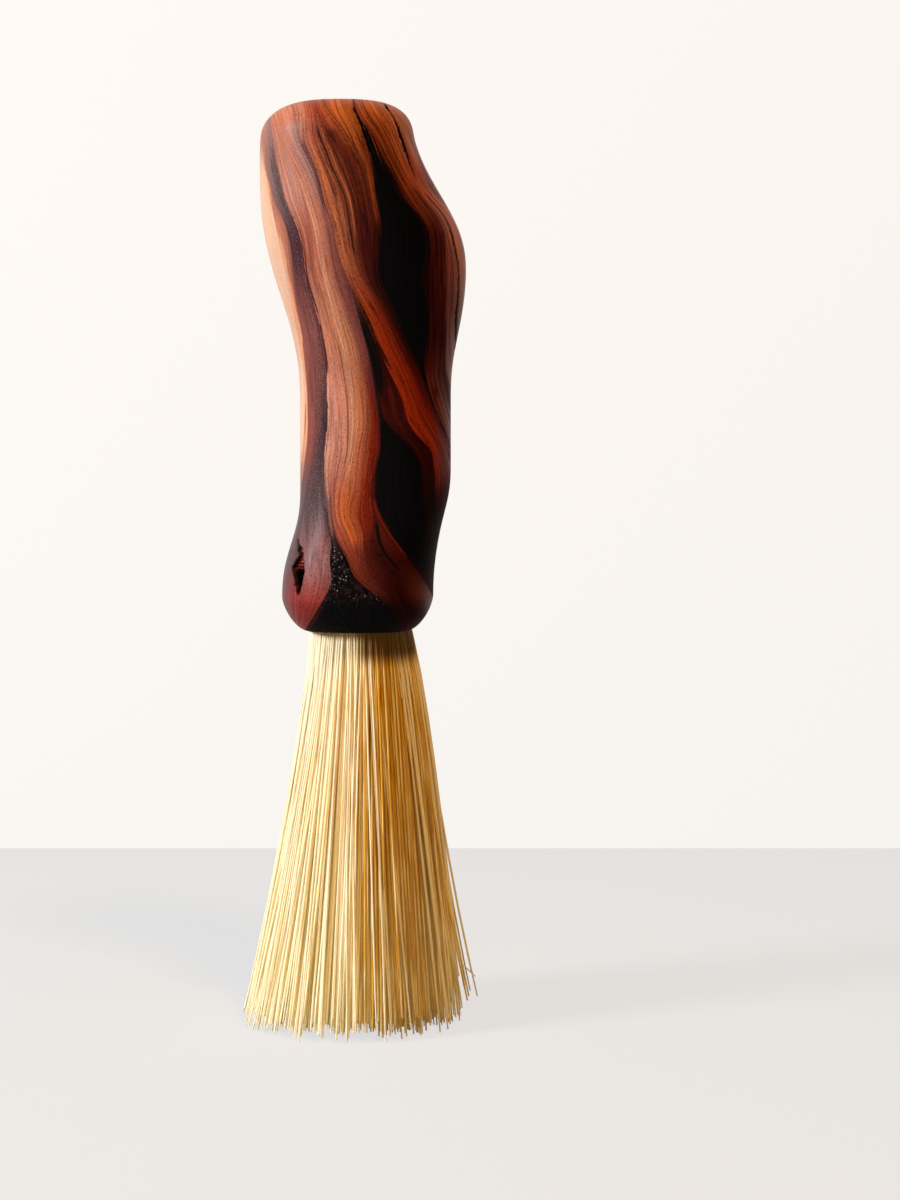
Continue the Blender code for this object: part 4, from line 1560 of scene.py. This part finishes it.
@dataclass
class Tuft:
    """The bound tuft: long, slender strands that splay from the socket to the cut tips.

    Spots are places across the bundle, from its middle to 1 at its rim.
    """

    slices: int = 6
    slice_turn: float = math.radians(15)
    strands: int = 2500
    strand_diameter: float = 0.00058
    thickness: Span = (0.75, 1.15)
    tip_taper: Span = (0.9, 0.62)
    grain_apart: float = 3.0
    sides: int = 5
    sharp_angle: float = math.radians(75)
    butt_radius: float = 0.01215
    waist_radius: float = 0.0103
    mouth_rise: float = 0.001
    tip_reach: float = 0.0273
    tip_depth: float = 0.0276
    tip_sway: float = -0.0024
    bend: float = 1.05
    side_bend: float = 0.30
    stray_bend: float = 2.6
    stray_spot: float = 0.97
    once_only: float = 9.0
    spot_jitter: float = 0.008
    clumps: int = 160
    clump_jitter: float = 0.05
    gather: float = 0.30
    gather_range: Span = (0.3, 1.2)
    clump_drift: float = 0.0007
    strand_drift: float = 0.0011
    looseness: tuple[float, ...] = (0.5, 1.1, 2.6)
    looseness_odds: tuple[float, ...] = (0.5, 0.35, 0.15)
    middle_spot: float = 0.05
    rim: Span = (0.70, 0.92)
    bow: float = 0.0004
    paleness: float = 0.98
    back_fade: float = 0.42
    back_span: Span = (-0.1, 0.6)
    # Painted shade: how much it darkens and evens the strands at the right front, and where it lies across
    # and front to back.
    painted_shade_fade: float = 0.92
    painted_shade_even: float = 0.5
    painted_shade_across: Span = (-0.35, 0.40)
    painted_shade_front: Span = (0.6, -0.1)
    strand_uneven: float = 0.13
    clump_uneven: float = 0.07
    crossing: int = 70
    crossing_turn: Span = (0.06, 0.34)
    crossing_rim: float = 0.955
    crossing_side: float = -0.35
    crossing_tip: float = 0.995
    crossing_tones: Span = (0.7, 1.0)
    tip_low: float = 0.0003
    tip_high: float = 0.0058
    tip_rise: float = 0.0006
    clump_lift: float = 0.0009
    strand_lift: Span = (2.2, 0.00085)
    ring_heights: tuple[float, ...] = (0.095, 0.086, 0.076, 0.065, 0.053, 0.040, 0.027, 0.014)
    strays: tuple[Stray, ...] = STRAYS

    def __post_init__(self) -> None:
        """Read the butt's and the binding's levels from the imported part."""
        self.butt_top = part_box("tuft_slice_1")[1].z
        self.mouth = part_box("handle")[0].z
        self.waist = sum(corner.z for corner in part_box("binding_wire")) / 2

    @property
    def levels(self) -> int:
        """Number of rings along a strand."""
        return len(self.ring_heights) + 4

    def template(self) -> bpy.types.Mesh:
        """One strand as a closed tube.

        Returns:
            A mesh with a ring at each level, one below the other.
        """
        shape = bmesh.new()
        bmesh.ops.create_circle(shape, cap_ends=True, radius=1.0, segments=self.sides)
        edges = list(shape.edges)
        for _ in range(1, self.levels):
            made = bmesh.ops.extrude_edge_only(shape, edges=edges)["geom"]
            edges = [item for item in made if isinstance(item, bmesh.types.BMEdge)]
            ring = [item for item in made if isinstance(item, bmesh.types.BMVert)]
            bmesh.ops.translate(shape, verts=ring, vec=(0, 0, -1))
        bmesh.ops.contextual_create(shape, geom=edges)
        bmesh.ops.recalc_face_normals(shape, faces=shape.faces)
        mesh = bpy.data.meshes.new("strand")
        shape.to_mesh(mesh)
        shape.free()
        return mesh

    def build(self) -> list[bpy.types.Object]:
        """The tuft's strands, one piece for each packed slice.

        Returns:
            The pieces.
        """
        chance = np.random.default_rng(SEED)
        template = self.template()
        centres, tones = self.paths(chance)
        turn = np.mod(np.arctan2(centres[:, 0, 1], centres[:, 0, 0]) - self.slice_turn, 2 * math.pi)
        number = np.floor(turn / (2 * math.pi / self.slices)).astype(int)
        pieces = []
        for index in range(self.slices):
            mine = number == index
            name = f"strands_{index + 1}"
            mesh = self.slice_mesh(template, centres[mine], tones[mine], chance, name)
            pieces.append(add_piece(name, mesh, [f"tuft_slice_{index + 1}"]))
        bpy.data.meshes.remove(template)
        return pieces

    def slice_mesh(
        self,
        template: bpy.types.Mesh,
        centres: np.ndarray,
        tones: np.ndarray,
        chance: np.random.Generator,
        name: str,
    ) -> bpy.types.Mesh:
        """The strands of one slice as a mesh.

        Args:
            template: The strand that is repeated.
            centres: Middle points of the strands' rings.
            tones: How pale each strand is.
            chance: The source of chance.
            name: The mesh's name.

        Returns:
            The mesh.
        """
        count = len(centres)
        shape = bmesh.new()
        for _ in range(count):
            shape.from_mesh(template)
        mesh = bpy.data.meshes.new(name)
        shape.to_mesh(mesh)
        shape.free()
        unit = np.empty(len(template.vertices) * 3)
        template.vertices.foreach_get("co", unit)
        unit = unit.reshape(-1, 3)
        level = np.rint(-unit[:, 2]).astype(int)
        thick = self.strand_diameter / 2 * chance.uniform(*self.thickness, count)
        taper = np.ones(self.levels)
        taper[-2:] = self.tip_taper
        turned = chance.random(count) * 2 * math.pi
        cos, sin = np.cos(turned)[:, None], np.sin(turned)[:, None]
        size = thick[:, None] * taper[level]
        across = (unit[:, 0] * cos - unit[:, 1] * sin) * size
        along = (unit[:, 0] * sin + unit[:, 1] * cos) * size
        place = centres[:, level] + np.stack([across, along, np.zeros_like(across)], axis=2)
        mesh.vertices.foreach_set("co", place.astype(np.float32).ravel())
        write(mesh, "strand_tone", np.repeat(tones, len(unit)))
        apart = np.repeat(chance.random((count, 1)) * self.grain_apart, len(unit), axis=1)
        write(mesh, "strand_place", np.stack([apart, across, place[..., 2]], axis=2))
        mesh.shade_smooth()
        mesh.set_sharp_from_angle(angle=self.sharp_angle)
        mesh.update()
        return mesh

    def paths(self, chance: np.random.Generator) -> tuple[np.ndarray, np.ndarray]:
        """Middle points of all the strands' rings, from the butt to the tips.

        Args:
            chance: The source of chance.

        Returns:
            An array of strands by levels by three, and how pale each strand is, darkened by painted shade at
            the right front.
        """
        count = self.strands
        order = np.arange(count) + 0.5
        spot = polar(np.sqrt(order / count), order * GOLDEN_TURN)
        spot += chance.normal(0, self.spot_jitter, spot.shape)
        spot /= np.maximum(1.0, np.linalg.norm(spot, axis=1))[:, None]
        order = np.arange(self.clumps) + 0.5
        clump = polar(np.sqrt(order / self.clumps), order * GOLDEN_TURN)
        clump += chance.normal(0, self.clump_jitter, clump.shape)
        nearest = np.argmin(((spot[:, None] - clump[None]) ** 2).sum(axis=2), axis=1)
        gather = self.gather * chance.uniform(*self.gather_range, (count, 1))
        end_spot = spot + (clump[nearest] - spot) * gather
        drift = chance.normal(0, self.clump_drift, clump.shape)[nearest]
        loose = chance.choice(np.array(self.looseness), (count, 1), p=self.looseness_odds)
        drift += chance.normal(0, self.strand_drift, spot.shape) * loose
        # Painted shade: strands at the right front get darker, ochre tones that stand in for the shade on
        # that side of the tuft.
        painted_shade = smooth_step(*self.painted_shade_across, spot[:, 0]) * smooth_step(*self.painted_shade_front, spot[:, 1])
        uneven = chance.normal(0, self.strand_uneven, count)
        uneven += chance.normal(0, self.clump_uneven, self.clumps)[nearest]
        behind = smooth_step(*self.back_span, spot[:, 1])
        tones = self.paleness - self.back_fade * behind - self.painted_shade_fade * painted_shade
        tones += uneven * (1 - self.painted_shade_even * painted_shade)
        self.cross(spot, end_spot, drift, tones, chance)
        edge = np.linalg.norm(end_spot, axis=1)
        outward = end_spot / np.maximum(edge, self.middle_spot)[:, None]
        over = np.maximum((drift * outward).sum(axis=1), 0) * smooth_step(*self.rim, edge)
        drift -= outward * over[:, None]
        lift = chance.normal(0, self.clump_lift, self.clumps)[nearest]
        lift += chance.gamma(*self.strand_lift, count)
        tip = np.clip(self.tip_low + lift + self.tip_rise, self.tip_low, self.tip_high)
        stray, kink = np.zeros(count), np.zeros(count)
        for one in self.strays:
            bearing = math.radians(one.bearing)
            aim = np.array([math.cos(bearing), math.sin(bearing)]) * self.stray_spot
            found = np.argmin(((spot - aim) ** 2).sum(axis=1) + self.once_only * (stray > 0))
            stray[found], kink[found], tip[found], drift[found] = one.reach, one.kink, one.tip, 0.0
        bow = chance.normal(0, self.bow, spot.shape)
        start = spot * self.butt_radius
        finish = end_spot * (self.tip_reach, self.tip_depth) + (self.tip_sway, 0.0) + drift
        wide, narrow = self.butt_radius, self.waist_radius
        butt = ((self.butt_top, wide), (self.waist, narrow), (self.mouth + self.mouth_rise, wide))
        levels = [np.column_stack([spot * radius, np.full(count, height)]) for height, radius in butt]
        for height in (*self.ring_heights, tip):
            down = np.clip((self.mouth - np.full(count, height)) / self.mouth, 0, 1)[:, None]
            here = start + (finish - start) * down ** (self.bend - self.side_bend * spot[:, :1])
            here += bow * np.sin(math.pi * down) + outward * stray[:, None] * down**self.stray_bend
            levels.append(np.column_stack([here, np.full(count, height)]))
        levels[-1][:, :2] += outward * kink[:, None]
        return np.stack(levels, axis=1), np.clip(tones, 0, 1)

    def cross(
        self,
        spot: np.ndarray,
        end_spot: np.ndarray,
        drift: np.ndarray,
        tones: np.ndarray,
        chance: np.random.Generator,
    ) -> None:
        """Let some pale strands of the outside run slantwise over their neighbours.

        Args:
            spot: Where the strands leave the socket.
            end_spot: Where they end, changed in place.
            drift: How far their tips stray, changed in place.
            tones: How pale they are, changed in place.
            chance: The source of chance.
        """
        outside = np.flatnonzero(np.linalg.norm(spot, axis=1) > self.crossing_rim)
        chosen = chance.choice(outside, self.crossing, replace=False)
        turn = chance.uniform(*self.crossing_turn, self.crossing)
        bearing = np.arctan2(spot[chosen, 1], spot[chosen, 0])
        side = np.sign(-spot[chosen, 1])
        turn *= np.where(np.cos(bearing) * side > self.crossing_side, 1.0, -1.0) * side
        end_spot[chosen] = polar(1.0, bearing + turn) * self.crossing_tip
        drift[chosen] = 0.0
        tones[chosen] = chance.uniform(*self.crossing_tones, self.crossing)


@dataclass(frozen=True)
class FibreFinish:
    """Dry, stiff, straw-coloured plant fibre that lets some light through, with a painted glow and a painted
    shadow of the handle.
    """

    effects: Effects
    pale: str = "#fff2cf"
    straw: str = "#efd085"
    ochre: str = "#cc981c"
    # Painted glow: an ochre emission, lighter at the tips, that stands in for light scattered among the
    # strands, and its strength.
    painted_glow: str = "#926316"
    tips_painted_glow: str = "#cbb770"
    glow: float = 0.09
    # How much paler the strands get towards the tips, and over what heights.
    tips_paling: float = 0.22
    tips_span: Span = (0.075, 0.010)
    streak_tone: float = 0.5
    streak_width_along: Span = (0.0006, 0.04)
    # Painted shadow of the handle on the top of the tuft at the right front: its tint and where it lies.
    handle_shadow: str = "#80644a"
    handle_shadow_z: Span = (0.0875, 0.0925)
    handle_shadow_x: Span = (-0.002, 0.002)
    handle_shadow_y: Span = (0.0, -0.004)
    roughness: float = 0.5
    specular: float = 0.25
    scattered: float = 0.4
    scatter_depth: float = 0.0010
    scatter_reach: Colour = (1.0, 0.9, 0.7)

    def make(self) -> bpy.types.Material:
        """Build the material.

        Returns:
            The material.
        """
        material, shader, surface = new_material("plant_fibre_strands")
        strand = shader.attribute("strand_place", "Vector")
        streaks = self.effects.streaks(shader, strand, *self.streak_width_along)
        where = shader.add("SeparateXYZ", {0: shader.place()}).outputs
        low = shader.range(where["Z"], self.tips_span)
        pale = shader.swing(streaks["Streak"], self.streak_tone, shader.attribute("strand_tone"))
        # The strands get paler towards the tips.
        pale = shader.math("MULTIPLY_ADD", low, self.tips_paling, pale)
        stops = ((0.05, self.ochre), (0.35, self.straw), (0.7, self.pale), (1.0, self.pale))
        colour = shader.ramp(pale, [(place, linear(code)) for place, code in stops])
        # Painted shadow: strands just under the handle at the right front are darkened, standing in for the
        # shadow that the handle casts on them.
        spans = (("Z", self.handle_shadow_z), ("X", self.handle_shadow_x), ("Y", self.handle_shadow_y))
        handle_shadow_mask = shader.times(*(shader.range(where[axis], span) for axis, span in spans))
        shader.fill(surface, {
            "Base Color": shader.mix(handle_shadow_mask, colour, shader.tint(colour, self.handle_shadow)),
            # Painted glow: the strands give off a little ochre light, lighter towards the tips.
            "Emission Color": shader.mix(low, self.painted_glow, self.tips_painted_glow),
            "Emission Strength": self.glow,
            "Roughness": self.roughness,
            "Specular IOR Level": self.specular,
            "Subsurface Weight": self.scattered,
            "Subsurface Radius": self.scatter_reach,
            "Subsurface Scale": self.scatter_depth,
        })
        return material


@dataclass(frozen=True)
class WireFinish:
    """Drawn brass-coloured wire, dulled in patches."""

    effects: Effects
    bright: str = "#b8975a"
    dull: str = "#7a6138"
    grit_specks: Span = (0.0002, 0.2)
    patches: Span = (0.004, 3.0)
    dull_span: Span = (0.42, 0.62)
    rough_span: Span = (0.4, 0.65)
    roughness: Span = (0.34, 0.54)
    relief: Span = (0.2, 0.00002)

    def make(self) -> bpy.types.Material:
        """Build the material.

        Returns:
            The material.
        """
        material, shader, surface = new_material("drawn_wire")
        place = shader.place()
        grit = self.effects.specks(shader, place, *self.grit_specks)["Grit"]
        patches = shader.noise(place, *self.patches)
        shader.fill(surface, {
            "Base Color": shader.mix(shader.range(patches, self.dull_span), self.bright, self.dull),
            "Metallic": 1.0,
            "Roughness": shader.range(patches, self.rough_span, self.roughness),
            "Normal": shader.bump(grit, *self.relief),
        })
        return material


@dataclass(frozen=True)
class GlueFinish:
    """Hard amber glue with small bubbles and a cloudy depth."""

    effects: Effects
    clear: str = "#8a5a22"
    cloudy: str = "#c59a58"
    bubbles: float = 0.5
    bubble_specks: Span = (0.0008, 0.25)
    clouds: Span = (0.005, 3.0)
    cloud_span: Span = (0.4, 0.65)
    grit_span: Span = (0.3, 0.7)
    roughness: Span = (0.28, 0.43)
    relief: Span = (0.3, 0.0001)
    scattered: float = 0.3
    scatter_depth: float = 0.0015

    def make(self) -> bpy.types.Material:
        """Build the material.

        Returns:
            The material.
        """
        material, shader, surface = new_material("hard_glue")
        place = shader.place()
        bubbles = self.effects.specks(shader, place, *self.bubble_specks)
        clouds = shader.noise(place, *self.clouds)
        colour = shader.mix(shader.range(clouds, self.cloud_span), self.clear, self.cloudy)
        shader.fill(surface, {
            "Base Color": shader.mix(shader.times(bubbles["Dots"], self.bubbles), colour, self.cloudy),
            "Roughness": shader.range(bubbles["Grit"], self.grit_span, self.roughness),
            "Subsurface Weight": self.scattered,
            "Subsurface Scale": self.scatter_depth,
            "Normal": shader.bump(clouds, *self.relief),
        })
        return material


def dress(node: str, material: bpy.types.Material) -> None:
    """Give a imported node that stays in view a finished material.

    Args:
        node: The node's name.
        material: The material.
    """
    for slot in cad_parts[node].material_slots:
        slot.material = material
    LOG.info("%s: keeps its packed shape, dressed in %s", node, material.name)


@dataclass(frozen=True)
class Lamp:
    """A square area lamp that faces the middle of the brush."""

    name: str
    place: tuple[float, float, float]
    size: float
    watts: float
    colour: Colour
    seen_in_gloss: bool = True
    target: tuple[float, float, float] = (0.0, 0.0, 0.11)

    def add(self) -> None:
        """Put the lamp in the scene."""
        data = bpy.data.lights.new(self.name, "AREA")
        data.size = self.size
        data.energy = self.watts
        data.color = self.colour
        lamp = bpy.data.objects.new(self.name, data)
        lamp.location = self.place
        lamp.rotation_euler = (Vector(self.target) - Vector(self.place)).to_track_quat("-Z", "Y").to_euler()
        lamp.visible_glossy = self.seen_in_gloss
        bpy.context.scene.collection.objects.link(lamp)


@dataclass
class Studio:
    """A pale floor and backdrop, a soft key from the left, a warm lamp above and little else."""

    wide: float = 2.4
    backdrop_y: float = 0.235
    backdrop_height: float = 1.2
    front_y: float = -0.9
    rear_y: float = 1.1
    ambient: float = 0.04
    white: tuple[float, ...] = (1.0, 0.985, 0.97, 1.0)
    warm: tuple[float, ...] = (1.0, 0.62, 0.28, 1.0)
    sheet_grey: tuple[float, ...] = (0.12, 0.12, 0.12, 1.0)
    sheet_roughness: float = 0.8
    floor_glow: tuple[float, ...] = (0.67, 0.675, 0.68, 1.0)
    backdrop_glow: tuple[float, ...] = (0.83, 0.815, 0.795, 1.0)
    lamps: tuple[Lamp, ...] = (
        Lamp("key", (-0.84, -0.39, 0.485), 0.26, 13.5, (1.0, 0.99, 0.97)),
        Lamp("overhead", (0.24, -0.46, 0.98), 0.16, 8.5, (1.0, 0.57, 0.20), False),
        Lamp("rim", (0.75, 0.10, 0.42), 0.60, 0.4, (1.0, 0.86, 0.70)),
    )

    def build(self) -> None:
        """Add the floor, the backdrop, the lamps and the world."""
        middle, depth = (self.front_y + self.rear_y) / 2, self.rear_y - self.front_y
        self.sheet("floor", Matrix.Translation((0, middle, 0)), depth, self.floor_glow)
        upright = Matrix.Translation((0, self.backdrop_y, self.backdrop_height / 2))
        upright = upright @ Matrix.Rotation(math.pi / 2, 4, "X")
        self.sheet("backdrop", upright, self.backdrop_height, self.backdrop_glow)
        for lamp in self.lamps:
            lamp.add()
        world = bpy.data.worlds.new("studio")
        bpy.context.scene.world = world
        world.use_nodes = True
        shader = Shader(world.node_tree)
        rays = shader.add("LightPath").outputs
        seen = shader.times(rays["Is Camera Ray"], 1.0 - self.ambient)
        shader.fill(world.node_tree.nodes["Background"], {
            "Color": shader.mix(rays["Is Diffuse Ray"], self.white, self.warm),
            "Strength": shader.math("ADD", seen, self.ambient),
        })
        bpy.context.scene.view_settings.view_transform = "Standard"

    def sheet(self, name: str, place: Matrix, deep: float, glow: tuple[float, ...]) -> None:
        """A flat pale sheet that stays out of the part and isn't seen from behind.

        Args:
            name: Its name.
            place: Where its middle is and how it is turned.
            deep: Its side that isn't the studio's width.
            glow: What it adds to its grey for the camera and in gloss.
        """
        shape = bmesh.new()
        size = Matrix.Diagonal((self.wide, deep, 1.0, 1.0))
        bmesh.ops.create_grid(shape, x_segments=1, y_segments=1, size=0.5, matrix=place @ size)
        mesh = bpy.data.meshes.new(name)
        shape.to_mesh(mesh)
        shape.free()
        sheet = bpy.data.objects.new(name, mesh)
        bpy.context.scene.collection.objects.link(sheet)
        material, shader, surface = new_material(name)
        rays = shader.add("LightPath").outputs
        seen = {0: rays["Is Camera Ray"], 1: rays["Is Glossy Ray"]}
        lit = shader.add("Math", seen, operation="ADD", use_clamp=True).outputs[0]
        unseen = shader.times(shader.add("NewGeometry").outputs["Backfacing"], rays["Is Camera Ray"])
        shader.fill(surface, {
            "Base Color": self.sheet_grey,
            "Roughness": self.sheet_roughness,
            "Specular IOR Level": 0.0,
            "Emission Color": glow,
            "Emission Strength": lit,
            "Alpha": shader.math("SUBTRACT", 1.0, unseen),
        })
        mesh.materials.append(material)


def main() -> None:
    """Build the brush's looks in order and report each piece."""
    logging.basicConfig(level=logging.INFO, format="%(name)s %(message)s")
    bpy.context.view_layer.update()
    CAMERA.place()
    handle = Handle()
    skin = handle.build()
    effects = Effects()
    skin.data.materials.append(BurlFinish(handle.figure, effects).make())
    fibre = FibreFinish(effects).make()
    for piece in Tuft().build():
        piece.data.materials.append(fibre)
    dress("binding_wire", WireFinish(effects).make())
    dress("glue_bed", GlueFinish(effects).make())
    Studio().build()


if __name__ == "__main__":
    main()
